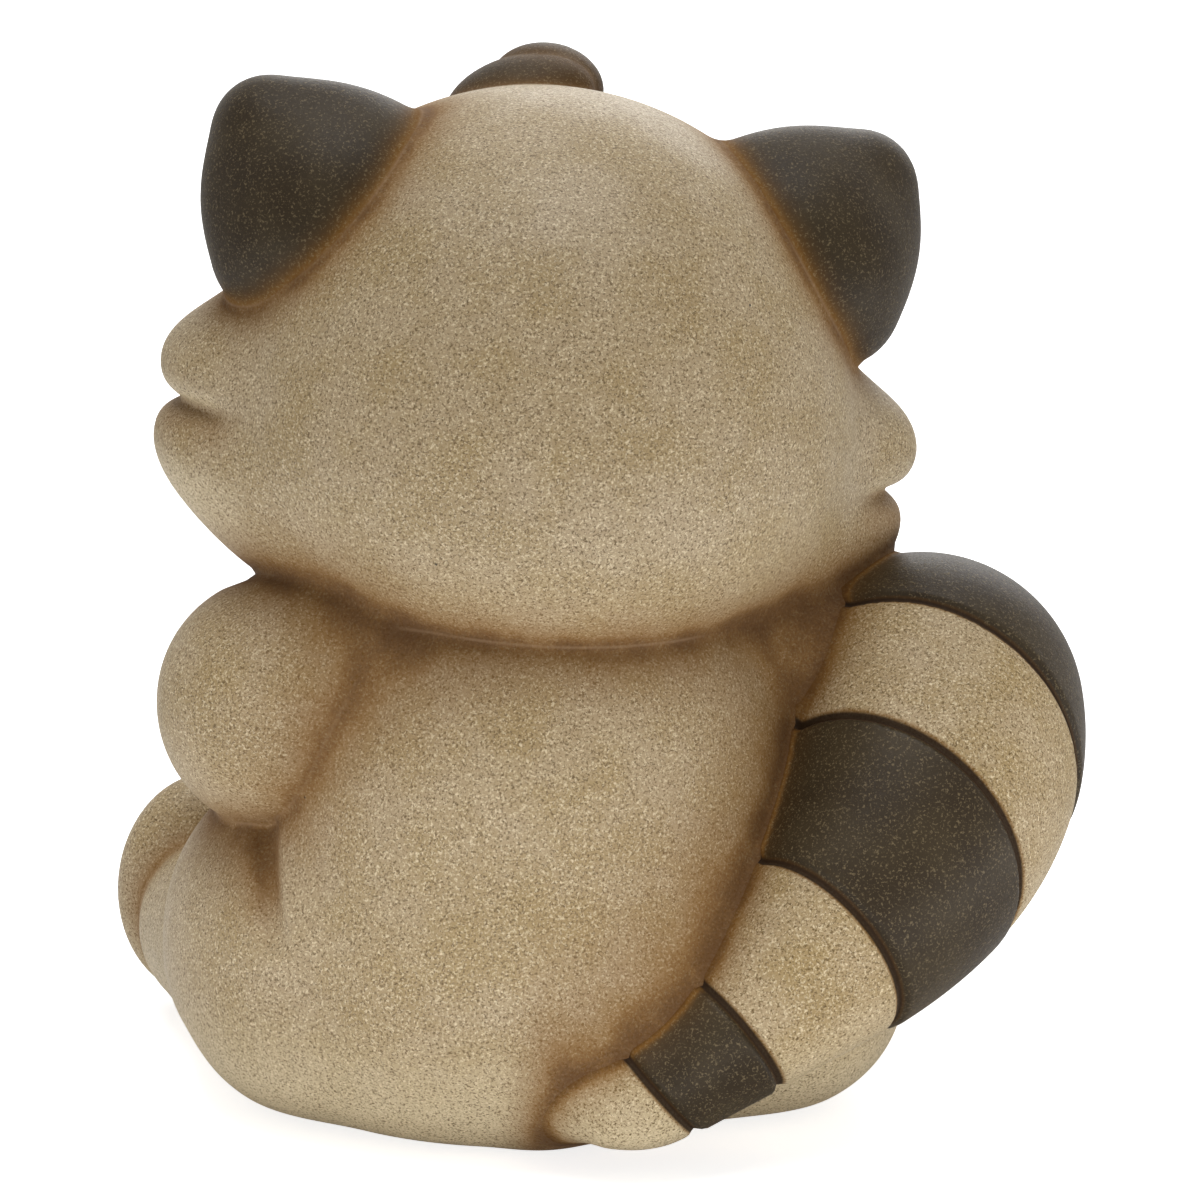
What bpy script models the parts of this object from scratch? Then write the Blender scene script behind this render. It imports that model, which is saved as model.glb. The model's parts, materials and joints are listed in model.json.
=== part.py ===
"""Seated ceramic raccoon figurine, modelled as its separate clay castings.

Metres, +Z up. The raccoon sits on Z = 0 and faces -Y, so its own left side is +X.
Three castings are hollow (head, torso and tail) and open into each other through vents.
The solid pressed pieces (ears, forelock, nose, eyes, arms and feet) are luted on to them.
"""

import math

import bmesh
import bpy
from mathutils import Matrix, Vector

# Clay: the wall of a hollow casting, the slip joint between two pieces, and the holes
WALL = 0.0045
LUTE_GAP = 0.0003
NECK_VENT_RADIUS = 0.006
TAIL_VENT_RADIUS = 0.0025
DRAIN_RADIUS = 0.004
DRAIN_SETBACK = 0.009

# Torso: an egg standing in a broad round seat
TORSO_WIDTH = 0.066
TORSO_DEPTH = 0.062
TORSO_TOP = 0.074
TORSO_HEIGHT = 0.080
TORSO_SETBACK = 0.001
SEAT_WIDTH = 0.072
SEAT_DEPTH = 0.064
SEAT_HEIGHT = 0.040
SEAT_SETBACK = 0.003
FOOT_RING_DEPTH = 0.002
WAIST_FILL = 0.0025

# Haunches and legs, cast in one with the torso
HAUNCH_WIDTH = 0.0334
HAUNCH_LENGTH = 0.044
HAUNCH_HEIGHT = 0.0392
HAUNCH_INSET = 0.0103
HAUNCH_FORWARD = 0.0015
THIGH_RADIUS = 0.013
THIGH_FORWARD = 0.014
THIGH_INSET = 0.009
ANKLE_RADIUS = 0.011
ANKLE_INSET = 0.005
LEG_REACH = 0.0325
SITTING_FLAT = 0.0006

# The base between the haunches, inside the seat all round
BASE_SIDE_INSET = 0.002
BASE_BACK_INSET = 0.004
BASE_HEIGHT = 0.023
BASE_SINK = 0.0035

# The fullness of the right hip, which carries the tail
HIP_WIDTH = 0.0356
HIP_LENGTH = 0.040
HIP_HEIGHT = 0.0292
HIP_INSET = 0.0114
HIP_SETBACK = 0.007

# Feet: thick upright soles, dished behind over the ends of the legs
FOOT_WIDTH = 0.0226
FOOT_THICKNESS = 0.013
FOOT_HEIGHT = 0.0285
FOOT_TURN = 10.0
ANKLE_SINK = 0.0015
FOOT_SPREAD = 0.0015

# Arms: places are measured down from the torso's top and in from its side or front
SHOULDER_RADIUS = 0.0125
SHOULDER_DROP = 0.018
SHOULDER_INSET = 0.016
SHOULDER_SETBACK = 0.0055
RIGHT_ARM_FORWARD = 0.0035
ELBOW_RADIUS = 0.0144
ELBOW_DROP = 0.0248
ELBOW_INSET = 0.0041
ELBOW_SETBACK = 0.003
FOREARM_RADIUS = 0.0115
FOREARM_LIFT = 0.004
FOREARM_FORWARD = 0.006
WRIST_RADIUS = 0.008
WRIST_DROP = 0.039
WRIST_SPREAD = 0.018
WRIST_CLEAR = 0.003
PAW_WIDTH = 0.016
PAW_THICKNESS = 0.014
PAW_SPREAD = 0.016
PAW_FORWARD = 0.003

# Head: a round skull over a wider bowl, tipped towards the raccoon's right
SKULL_WIDTH = 0.0664
SKULL_DEPTH = 0.066
SKULL_HEIGHT = 0.0604
BOWL_WIDTH = 0.072
BOWL_DEPTH = 0.066
BOWL_HEIGHT = 0.048
BOWL_DROP = 0.0108
NECK_SINK = 0.0208
HEAD_SIDE = 0.0029
HEAD_FORWARD = 0.003
HEAD_TIP = 7.0
TEMPLE_FILL = 0.0024
TEMPLE_DROP = 0.0027
NAPE_SIDE_INSET = 0.009
NAPE_BACK_INSET = 0.0055
NAPE_SAG = 0.0015
NAPE_DROP = 0.017
NAPE_SETBACK = 0.005

# Cheek ruffs: two lobes on each side over a jaw
CHEEK_LOBE_REACH = 0.011
CHEEK_LOBE_DEPTH = 0.021
CHEEK_LOBE_HEIGHT = 0.0132
CHEEK_INSET = 0.0027
CHEEK_DROP = 0.0116
CHEEK_SPACING = 0.0112
CHEEK_UPPER_TURN = 8.0
CHEEK_LOWER_TURN = -18.0
CHEEK_FORWARD = 0.003
JAW_REACH = 0.014
JAW_DEPTH = 0.032
JAW_HEIGHT = 0.024
JAW_INSET = 0.012
JAW_DROP = 0.018
JAW_TURN = -40.0
CHEEK_FILL_INSET = 0.0095
CHEEK_FILL_WIDTH = 0.018
CHEEK_FILL_DEPTH = 0.030
CHEEK_FILL_HEIGHT = 0.029

# Muzzle, nose and eyes
MUZZLE_WIDTH = 0.026
MUZZLE_LENGTH = 0.010
MUZZLE_HEIGHT = 0.018
MUZZLE_DROP = 0.009
MUZZLE_SINK = 0.002
NOSE_WIDTH = 0.0092
NOSE_HEIGHT = 0.0064
NOSE_LENGTH = 0.0068
NOSE_LIFT = 0.0035
NOSE_SINK = 0.0006
EYE_WIDTH = 0.006
EYE_HEIGHT = 0.0068
EYE_DEPTH = 0.0048
EYE_SPACING = 0.024
EYE_LIFT = 0.0045

# Ears: rounded triangles whose corners lie at angles from the top of the skull
EAR_THICKNESS = 0.0098
EAR_TOP_ANGLE = 42.3
EAR_TIP_ANGLE = 57.0
EAR_LOW_ANGLE = 79.7
EAR_TIP_HEIGHT = 0.0105
EAR_ROOT_SINK = 0.0047
EAR_LOW_PROUD = 0.0016
EAR_TIP_FORWARD = 0.003
EAR_SWELL_WIDTH = 0.0262
EAR_SWELL_DEPTH = 0.0220
EAR_SWELL_SETBACK = 0.0026
EAR_SWELL_INSET = 0.0028
EAR_BLADE_WIDTH = 0.0264
EAR_BLADE_HEIGHT = 0.0236
EAR_BLADE_DEPTH = 0.012
EAR_BLADE_INSET = 0.0016
EAR_CUP_WIDTH = 0.017
EAR_CUP_DEPTH = 0.018
EAR_CUP_PROUD = 0.0067
EAR_CUP_FORWARD = 0.012

# Forelock: two overlapping locks low on the front of the crown
LOCK_LENGTH = 0.018
LOCK_DEPTH = 0.014
LOCK_HEIGHT = 0.011
LOCK_LEAN = 22.0
LOCK_SIDE = 0.004
LOCK_FORWARD = 0.015
LOCK_SINK = 0.0013
SMALL_LOCK_LENGTH = 0.0138
SMALL_LOCK_DEPTH = 0.013
SMALL_LOCK_HEIGHT = 0.0104
SMALL_LOCK_SIDE = 0.0005
SMALL_LOCK_FORWARD = 0.018
SMALL_LOCK_PROUD = 0.0018

# Tail: it leaves the back of the seat and climbs round the raccoon's right flank
TAIL_ROOT_RADIUS = 0.006
TAIL_TIP_RADIUS = 0.0185
TAIL_ROOT_HEIGHT = 0.0081
TAIL_RISE = 0.0362
TAIL_SINK = 0.0049
TAIL_ROOT_ANGLE = 97.4
TAIL_SWEEP = 79.3
TAIL_SWELL_END = 1.0
TAIL_SWELL_POWER = 1.17
TAIL_RISE_POWER = 1.3
TAIL_ROOT_REACH = 0.0048
TAIL_ROOT_DIG = 0.012
BAND_EDGES = (0.11, 0.298, 0.521, 0.741, 0.927)
BAND_TURN = 73.0
BAND_ROOT_PITCH = 44.0
BAND_TIP_PITCH = 11.0
BAND_GROOVE_WIDTH = 0.0014
BAND_GROOVE_DEPTH = 0.0007
VENT_BAND = 3
VENT_REACH = 0.5

# Fineness of the modelled surfaces
OUTER_VOXEL = 0.0019
INNER_VOXEL = 0.0035
FAIR_PASSES = 5
TORSO_FAIR_PASSES = 16
FACE_AREA = 12.5e-6
FINE_FACE_AREA = 6.0e-6
INNER_FACE_AREA = 28.0e-6
LUMP_SEGMENTS = 40
BALL_SEGMENTS = 22
ROD_SEGMENTS = 24
TUBE_RESOLUTION = 8
LEG_STEPS = 5
UPPER_ARM_STEPS = 4
FOREARM_STEPS = 7
EAR_STEPS = 5
TAIL_STEPS = 18
TIP_STEPS = 6
TIP_STEP_TURN = 14.0
FAIR_FACTOR = 0.5
THINNEST_SHARE = 0.5
SHARP_TURN = 40.0

# Colours, linear, and how rough each finish is
BEIGE = (0.39, 0.30, 0.17)
DARK_BROWN = (0.048, 0.040, 0.028)
BLACK = (0.010, 0.010, 0.010)
BEIGE_ROUGHNESS = 0.5
DARK_ROUGHNESS = 0.45
GLAZE_ROUGHNESS = 0.15

FLOOR_DEPTH = 0.03
FLOOR_SIZE = 0.3


def clear_scene():
    """Remove every object that the file opened with."""
    for item in list(bpy.data.objects):
        bpy.data.objects.remove(item, do_unlink=True)


def make_collection(name):
    """A new collection linked into the scene."""
    group = bpy.data.collections.new(name)
    bpy.context.scene.collection.children.link(group)
    return group


def principled(name, colour, roughness):
    """A Principled BSDF of one fired finish."""
    material = bpy.data.materials.new(name)
    material.use_nodes = True
    shader = material.node_tree.nodes["Principled BSDF"]
    shader.inputs["Base Color"].default_value = (*colour, 1.0)
    shader.inputs["Roughness"].default_value = roughness
    shader.inputs["Metallic"].default_value = 0.0
    material.diffuse_color = (*colour, 1.0)
    return material


def lump(centre, size, axis="Y", turn=0.0):
    """An ellipsoid of clay: its centre, its three half sizes, and a turn in degrees about one axis."""
    halves = tuple(length / 2 for length in size)
    return Vector(centre), halves, Matrix.Rotation(math.radians(turn), 3, axis)


def chain(start, end, start_radius, end_radius, count):
    """Round lumps in a row from start to end, their radius changing evenly."""
    row = []
    for step in range(count):
        share = step / (count - 1)
        diameter = 2 * (start_radius + (end_radius - start_radius) * share)
        row.append(lump(Vector(start).lerp(Vector(end), share), (diameter, diameter, diameter)))
    return row


def shrunk(lumps, wall):
    """The same lumps with a wall's thickness taken off all round, leaving out those too small to hold it."""
    least = wall * THINNEST_SHARE
    return [
        (centre, tuple(half - wall for half in halves), turn)
        for centre, halves, turn in lumps
        if min(halves) - wall > least
    ]


def mirrored(lumps):
    """The lumps with their twins on the other side of X = 0."""
    twins = []
    for centre, halves, turn in lumps:
        flip = Matrix.Scale(-1, 3, Vector((1, 0, 0)))
        twins.append((flip @ centre, halves, flip @ turn @ flip))
    return lumps + twins


def placed(lumps, frame):
    """The lumps carried by a rigid frame."""
    turn_of_frame = frame.to_3x3()
    return [(frame @ centre, halves, turn_of_frame @ turn) for centre, halves, turn in lumps]


def mesh_object(name, mesh, group):
    """An object that holds the mesh, linked into a collection."""
    item = bpy.data.objects.new(name, mesh)
    group.objects.link(item)
    return item


def bake(item):
    """Replace an object's mesh by what its modifiers make of it."""
    graph = bpy.context.evaluated_depsgraph_get()
    mesh = bpy.data.meshes.new_from_object(item.evaluated_get(graph))
    spent = item.data
    item.modifiers.clear()
    item.data = mesh
    bpy.data.meshes.remove(spent)
    return item


def area_of(item):
    """The surface area of an object's mesh."""
    return sum(face.area for face in item.data.polygons)


def rounded(name, lumps, group, segments):
    """The lumps as smooth ellipsoids, each with so many sides round its middle."""
    shape = bmesh.new()
    for centre, halves, turn in lumps:
        place = Matrix.Translation(centre) @ turn.to_4x4() @ Matrix.Diagonal((*halves, 1.0))
        bmesh.ops.create_uvsphere(
            shape, u_segments=segments, v_segments=segments // 2, radius=1.0, matrix=place
        )
    bmesh.ops.recalc_face_normals(shape, faces=shape.faces)
    mesh = bpy.data.meshes.new(name)
    shape.to_mesh(mesh)
    shape.free()
    return mesh_object(name, mesh, group)


def fused(name, lumps, group, voxel, face_area, passes=FAIR_PASSES):
    """Lumps pressed into one body: joined on a voxel grid, faired, and thinned to about one face area."""
    item = rounded(name, lumps, group, LUMP_SEGMENTS)
    join = item.modifiers.new("join", "REMESH")
    join.mode = "VOXEL"
    join.voxel_size = voxel
    fair = item.modifiers.new("fair", "SMOOTH")
    fair.factor = FAIR_FACTOR
    fair.iterations = passes
    bake(item)
    faces_now = 2 * len(item.data.polygons)
    thin = item.modifiers.new("thin", "DECIMATE")
    thin.ratio = min(1.0, 2 * area_of(item) / face_area / faces_now)
    return bake(item)


def grown(item, distance, group):
    """A copy of a body, swollen by a distance, to cut its neighbours with."""
    copy = mesh_object(item.name + "_cutter", item.data.copy(), group)
    swell = copy.modifiers.new("swell", "DISPLACE")
    swell.mid_level = 0.0
    swell.strength = distance
    bake(copy)
    hide_cutter(copy)
    return copy


def hide_cutter(item):
    """Show a cutter as wire only, and leave it out of renders."""
    item.hide_render = True
    item.display_type = "WIRE"


def cut(item, *cutters):
    """Take each cutter's space out of a body."""
    for cutter in cutters:
        trim = item.modifiers.new("trim", "BOOLEAN")
        trim.operation = "DIFFERENCE"
        trim.solver = "EXACT"
        trim.object = cutter
        bake(item)
    return item


def rod(name, start, end, radius, group):
    """A round cutter from start to end."""
    way = Vector(end) - Vector(start)
    turn = way.to_track_quat("Z", "Y").to_matrix().to_4x4()
    middle = Matrix.Translation((Vector(start) + Vector(end)) / 2)
    shape = bmesh.new()
    bmesh.ops.create_cone(
        shape,
        cap_ends=True,
        segments=ROD_SEGMENTS,
        radius1=radius,
        radius2=radius,
        depth=way.length,
        matrix=middle @ turn,
    )
    mesh = bpy.data.meshes.new(name)
    shape.to_mesh(mesh)
    shape.free()
    item = mesh_object(name, mesh, group)
    hide_cutter(item)
    return item


def floor_block(group):
    """The block under Z = 0 that every sitting piece is cut flat on."""
    shape = bmesh.new()
    size = Matrix.Diagonal((FLOOR_SIZE, FLOOR_SIZE, FLOOR_DEPTH, 1))
    place = Matrix.Translation((0, 0, -FLOOR_DEPTH / 2)) @ size
    bmesh.ops.create_cube(shape, size=1.0, matrix=place)
    mesh = bpy.data.meshes.new("floor_cutter")
    shape.to_mesh(mesh)
    shape.free()
    item = mesh_object("floor_cutter", mesh, group)
    hide_cutter(item)
    return item


def torso_lumps():
    """The egg, the seat, its base, the full right hip and both haunches with their legs."""
    egg = lump(
        (0, TORSO_SETBACK, TORSO_TOP - TORSO_HEIGHT / 2),
        (TORSO_WIDTH, TORSO_DEPTH, TORSO_HEIGHT),
    )
    seat = lump(
        (0, SEAT_SETBACK, SEAT_HEIGHT / 2 - FOOT_RING_DEPTH),
        (SEAT_WIDTH, SEAT_DEPTH, SEAT_HEIGHT),
    )
    waist = lump(
        (0, (TORSO_SETBACK + SEAT_SETBACK) / 2, (egg[0].z + seat[0].z) / 2),
        (TORSO_WIDTH + 2 * WAIST_FILL, TORSO_DEPTH + 2 * WAIST_FILL, SEAT_HEIGHT + 2 * WAIST_FILL),
    )
    base = lump(
        (0, TORSO_SETBACK, BASE_HEIGHT / 2 - BASE_SINK),
        (SEAT_WIDTH - 2 * BASE_SIDE_INSET, SEAT_DEPTH - 2 * BASE_BACK_INSET, BASE_HEIGHT),
    )
    haunch = lump(
        (SEAT_WIDTH / 2 - HAUNCH_INSET, -HAUNCH_FORWARD, HAUNCH_HEIGHT / 2 - SITTING_FLAT),
        (HAUNCH_WIDTH, HAUNCH_LENGTH, HAUNCH_HEIGHT),
    )
    thigh = (SEAT_WIDTH / 2 - THIGH_INSET, -THIGH_FORWARD, THIGH_RADIUS - SITTING_FLAT)
    leg = chain(thigh, ankle_place(1), THIGH_RADIUS, ANKLE_RADIUS, LEG_STEPS)
    hip = lump(
        (HIP_INSET - SEAT_WIDTH / 2, HIP_SETBACK, HIP_HEIGHT / 2 - SITTING_FLAT),
        (HIP_WIDTH, HIP_LENGTH, HIP_HEIGHT),
    )
    return [egg, seat, waist, base, hip] + mirrored([haunch] + leg)


def ankle_spread():
    """How far each leg's end is from the middle of the seat."""
    return SEAT_WIDTH / 2 - ANKLE_INSET


def ankle_place(side):
    """The centre of a leg's round end."""
    return Vector((side * ankle_spread(), -LEG_REACH, ANKLE_RADIUS + SITTING_FLAT))


def foot_lumps(side):
    """One upright sole, set over the end of its leg."""
    centre = (
        side * (ankle_spread() + FOOT_SPREAD),
        -(LEG_REACH + ANKLE_RADIUS - ANKLE_SINK),
        FOOT_HEIGHT / 2 - SITTING_FLAT,
    )
    return [lump(centre, (FOOT_WIDTH, FOOT_THICKNESS, FOOT_HEIGHT), "Z", side * FOOT_TURN)]


def arm_lumps(side):
    """Shoulder, elbow, forearm and paw of one arm."""
    half = TORSO_WIDTH / 2
    forward = RIGHT_ARM_FORWARD if side < 0 else 0.0
    shoulder = (side * (half - SHOULDER_INSET), SHOULDER_SETBACK - forward, TORSO_TOP - SHOULDER_DROP)
    elbow = (side * (half - ELBOW_INSET), ELBOW_SETBACK - forward, TORSO_TOP - ELBOW_DROP)
    forearm = (elbow[0], elbow[1] - FOREARM_FORWARD, elbow[2] - FOREARM_LIFT)
    front = -(TORSO_DEPTH / 2 - TORSO_SETBACK)
    wrist = (side * WRIST_SPREAD, front - WRIST_CLEAR, TORSO_TOP - WRIST_DROP)
    paw = lump(
        (side * PAW_SPREAD, wrist[1] - PAW_FORWARD, wrist[2]),
        (PAW_WIDTH, PAW_THICKNESS, PAW_THICKNESS),
    )
    upper = chain(shoulder, elbow, SHOULDER_RADIUS, ELBOW_RADIUS, UPPER_ARM_STEPS)
    lower = chain(forearm, wrist, FOREARM_RADIUS, WRIST_RADIUS, FOREARM_STEPS)
    return upper + lower + [paw]


def head_frame():
    """The head's own frame: its origin is the middle of the skull."""
    height = TORSO_TOP - NECK_SINK + BOWL_DROP + BOWL_HEIGHT / 2
    return Matrix.Translation((-HEAD_SIDE, -HEAD_FORWARD, height)) @ Matrix.Rotation(
        math.radians(-HEAD_TIP), 4, "Y"
    )


def skull_side(angle, proud):
    """A point of the head's frame over the skull's side, at an angle in degrees from its top."""
    turn = math.radians(angle)
    across = math.sin(turn) / (SKULL_WIDTH / 2)
    up = math.cos(turn) / (SKULL_HEIGHT / 2)
    reach = 1 / math.hypot(across, up) + proud
    return Vector((reach * math.sin(turn), 0, reach * math.cos(turn)))


def face_front(side, lift):
    """The Y of the face's front surface at a side place and a height."""
    fronts = []
    for centre, halves, _ in skull_lumps():
        share = 1 - (side / halves[0]) ** 2 - ((lift - centre.z) / halves[2]) ** 2
        fronts.append(-halves[1] * math.sqrt(max(0.0, share)))
    return min(fronts)


def skull_crown(forward):
    """The height of the crown at a distance forward of the skull's middle."""
    return SKULL_HEIGHT / 2 * math.sqrt(1 - (forward / (SKULL_DEPTH / 2)) ** 2)


def skull_lumps():
    """The skull, the bowl below it, the fullness at the temples and the nape, in the head's own frame."""
    return [
        lump((0, 0, 0), (SKULL_WIDTH, SKULL_DEPTH, SKULL_HEIGHT)),
        lump((0, 0, -BOWL_DROP), (BOWL_WIDTH, BOWL_DEPTH, BOWL_HEIGHT)),
        lump(
            (0, 0, -TEMPLE_DROP),
            (SKULL_WIDTH + 2 * TEMPLE_FILL, SKULL_DEPTH + 2 * TEMPLE_FILL, SKULL_HEIGHT - 2 * TEMPLE_FILL),
        ),
        lump(
            (0, NAPE_SETBACK, -NAPE_DROP),
            (
                BOWL_WIDTH - 2 * NAPE_SIDE_INSET,
                BOWL_DEPTH - 2 * NAPE_BACK_INSET,
                BOWL_HEIGHT + 2 * (BOWL_DROP + NAPE_SAG - NAPE_DROP),
            ),
        ),
    ]


def head_lumps():
    """Skull, cheek lobes, jaws and muzzle, in the head's own frame."""
    lobe = (2 * CHEEK_LOBE_REACH, CHEEK_LOBE_DEPTH, CHEEK_LOBE_HEIGHT)
    lobe_side = BOWL_WIDTH / 2 - CHEEK_INSET
    cheek = [
        lump((lobe_side, -CHEEK_FORWARD, -CHEEK_DROP + CHEEK_SPACING / 2), lobe, "Y", CHEEK_UPPER_TURN),
        lump((lobe_side, -CHEEK_FORWARD, -CHEEK_DROP - CHEEK_SPACING / 2), lobe, "Y", CHEEK_LOWER_TURN),
        lump(
            (BOWL_WIDTH / 2 - CHEEK_FILL_INSET, -CHEEK_FORWARD, -CHEEK_DROP),
            (CHEEK_FILL_WIDTH, CHEEK_FILL_DEPTH, CHEEK_FILL_HEIGHT),
        ),
        lump(
            (BOWL_WIDTH / 2 - JAW_INSET, -CHEEK_FORWARD, -JAW_DROP),
            (2 * JAW_REACH, JAW_DEPTH, JAW_HEIGHT),
            "Y",
            JAW_TURN,
        ),
    ]
    muzzle = lump(muzzle_place(), (MUZZLE_WIDTH, 2 * MUZZLE_LENGTH, MUZZLE_HEIGHT))
    return skull_lumps() + [muzzle] + mirrored(cheek)


def muzzle_place():
    """The middle of the muzzle in the head's own frame."""
    return Vector((0, MUZZLE_SINK - SKULL_DEPTH / 2, -MUZZLE_DROP))


def ear_lumps(side):
    """A rounded triangular plate with a full blade and a swollen root, in the head's own frame."""
    top = skull_side(EAR_TOP_ANGLE, -EAR_ROOT_SINK)
    tip = skull_side(EAR_TIP_ANGLE, EAR_TIP_HEIGHT) - Vector((0, EAR_TIP_FORWARD, 0))
    low = skull_side(EAR_LOW_ANGLE, EAR_LOW_PROUD)
    thickness = (EAR_THICKNESS, EAR_THICKNESS, EAR_THICKNESS)
    lumps = []
    for row in range(EAR_STEPS + 1):
        for place in range(EAR_STEPS + 1 - row):
            share_top = row / EAR_STEPS
            share_tip = place / EAR_STEPS
            centre = top * share_top + tip * share_tip + low * (1 - share_top - share_tip)
            lumps.append(lump(centre, thickness))
    middle = (top + tip + low) / 3
    swell = lump(
        (middle.x - EAR_SWELL_INSET, EAR_SWELL_SETBACK, middle.z - EAR_SWELL_INSET),
        (EAR_SWELL_WIDTH, EAR_SWELL_DEPTH, EAR_SWELL_WIDTH),
    )
    blade = lump(
        (middle.x - EAR_BLADE_INSET, middle.y, middle.z - EAR_BLADE_INSET),
        (EAR_BLADE_WIDTH, EAR_BLADE_DEPTH, EAR_BLADE_HEIGHT),
    )
    both = mirrored(lumps + [swell, blade])
    half = len(both) // 2
    return both[:half] if side > 0 else both[half:]


def ear_cup(side):
    """The hollow in the front of an ear, in the head's own frame."""
    place = skull_side(EAR_TIP_ANGLE, EAR_CUP_PROUD)
    centre = (side * place.x, -EAR_CUP_FORWARD, place.z)
    return [lump(centre, (EAR_CUP_WIDTH, EAR_CUP_DEPTH, EAR_CUP_WIDTH))]


def lock_lumps():
    """The large lock of the forelock, in the head's own frame."""
    height = skull_crown(LOCK_FORWARD) - LOCK_SINK
    return [lump((LOCK_SIDE, -LOCK_FORWARD, height), (LOCK_LENGTH, LOCK_DEPTH, LOCK_HEIGHT), "Y", LOCK_LEAN)]


def small_lock_lumps():
    """The small lock in front of the large one, in the head's own frame."""
    height = skull_crown(SMALL_LOCK_FORWARD) + SMALL_LOCK_PROUD
    size = (SMALL_LOCK_LENGTH, SMALL_LOCK_DEPTH, SMALL_LOCK_HEIGHT)
    return [lump((SMALL_LOCK_SIDE, -SMALL_LOCK_FORWARD, height), size)]


def eye_lumps(side):
    """One eye, half sunk in the skull, in the head's own frame."""
    across = EYE_SPACING / 2
    centre = (side * across, face_front(across, EYE_LIFT), EYE_LIFT)
    return [lump(centre, (EYE_WIDTH, EYE_DEPTH, EYE_HEIGHT))]


def nose_lumps():
    """The nose on the end of the muzzle, in the head's own frame."""
    base = muzzle_place()
    drop = 1 - (NOSE_LIFT / (MUZZLE_HEIGHT / 2)) ** 2
    centre = (0, base.y - MUZZLE_LENGTH * math.sqrt(drop) + NOSE_SINK, base.z + NOSE_LIFT)
    return [lump(centre, (NOSE_WIDTH, NOSE_LENGTH, NOSE_HEIGHT))]


def root_share():
    """How far the tail's root runs back under the seat, as a share of the tail's sweep."""
    return TAIL_ROOT_REACH / ((TORSO_WIDTH + TORSO_DEPTH) / 4 * math.radians(TAIL_SWEEP))


def tail_angle(along):
    """The tail's direction from the torso's upright axis, in degrees, at a share of its length."""
    return TAIL_ROOT_ANGLE + TAIL_SWEEP * along


def tail_station(along):
    """The centre and radius of the tail at a share of its length."""
    swelling = min(1.0, max(0.0, along) / TAIL_SWELL_END) ** TAIL_SWELL_POWER
    swelling = swelling * swelling * (3 - 2 * swelling)
    radius = TAIL_ROOT_RADIUS + (TAIL_TIP_RADIUS - TAIL_ROOT_RADIUS) * swelling
    dig = TAIL_ROOT_DIG * (min(0.0, along) / root_share()) ** 2
    reach = (TORSO_WIDTH + TORSO_DEPTH) / 4 - TAIL_SINK + radius - dig
    turn = math.radians(tail_angle(along))
    height = TAIL_ROOT_HEIGHT + TAIL_RISE * max(0.0, along) ** TAIL_RISE_POWER
    centre = Vector((reach * math.cos(turn), TORSO_SETBACK + reach * math.sin(turn), height))
    return centre, radius


def tail_path(less):
    """Centres and radii from the buried root to the round tip, with a thickness taken off the radius."""
    stations = []
    for step in range(TAIL_STEPS + 1):
        along = (1 + root_share()) * step / TAIL_STEPS - root_share()
        centre, radius = tail_station(along)
        stations.append((centre, radius - less))
    end, radius = stations[-1]
    way = (end - stations[-2][0]).normalized()
    for step in range(1, TIP_STEPS + 1):
        turn = math.radians(TIP_STEP_TURN * step)
        stations.append((end + way * radius * math.sin(turn), radius * math.cos(turn)))
    return stations


def swept(name, stations, group):
    """A round tube through the stations, closed at both ends, as a mesh."""
    curve = bpy.data.curves.new(name, "CURVE")
    curve.dimensions = "3D"
    curve.bevel_depth = TAIL_TIP_RADIUS
    curve.bevel_resolution = TUBE_RESOLUTION
    curve.use_fill_caps = True
    spline = curve.splines.new("POLY")
    spline.points.add(len(stations) - 1)
    for point, (centre, radius) in zip(spline.points, stations):
        point.co = (*centre, 1.0)
        point.radius = radius / TAIL_TIP_RADIUS
    guide = mesh_object(name + "_path", curve, group)
    graph = bpy.context.evaluated_depsgraph_get()
    mesh = bpy.data.meshes.new_from_object(guide.evaluated_get(graph))
    shape = bmesh.new()
    shape.from_mesh(mesh)
    bmesh.ops.remove_doubles(shape, verts=shape.verts, dist=0.00001)
    bmesh.ops.recalc_face_normals(shape, faces=shape.faces)
    shape.to_mesh(mesh)
    shape.free()
    item = mesh_object(name, mesh, group)
    item.matrix_world = guide.matrix_world
    bpy.data.objects.remove(guide)
    return item


def band_plane(along):
    """A point and the normal of the carved ring at a share of the tail's length."""
    turn = math.radians(tail_angle(along) + BAND_TURN)
    pitch = math.radians(BAND_ROOT_PITCH + (BAND_TIP_PITCH - BAND_ROOT_PITCH) * along)
    normal = Vector((math.cos(turn) * math.cos(pitch), math.sin(turn) * math.cos(pitch), math.sin(pitch)))
    return tail_station(along)[0], normal


def carve_bands(item):
    """Carve a V groove along each ring of the tail, and give every second band the dark colour."""
    shape = bmesh.new()
    shape.from_mesh(item.data)
    for along in BAND_EDGES:
        point, normal = band_plane(along)
        for offset in (-BAND_GROOVE_WIDTH / 2, BAND_GROOVE_WIDTH / 2, 0.0):
            whole = shape.verts[:] + shape.edges[:] + shape.faces[:]
            bmesh.ops.bisect_plane(
                shape, geom=whole, dist=0.00001, plane_co=point + normal * offset, plane_no=normal
            )
        shape.normal_update()
        ring = [v for v in shape.verts if abs((v.co - point).dot(normal)) < 0.00002]
        for corner in ring:
            corner.co -= corner.normal * BAND_GROOVE_DEPTH
    planes = [band_plane(along) for along in BAND_EDGES]
    for face in shape.faces:
        middle = face.calc_center_median()
        passed = sum((middle - point).dot(normal) > 0 for point, normal in planes)
        face.material_index = passed % 2
    bmesh.ops.triangulate(shape, faces=shape.faces)
    shape.to_mesh(item.data)
    shape.free()


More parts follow.
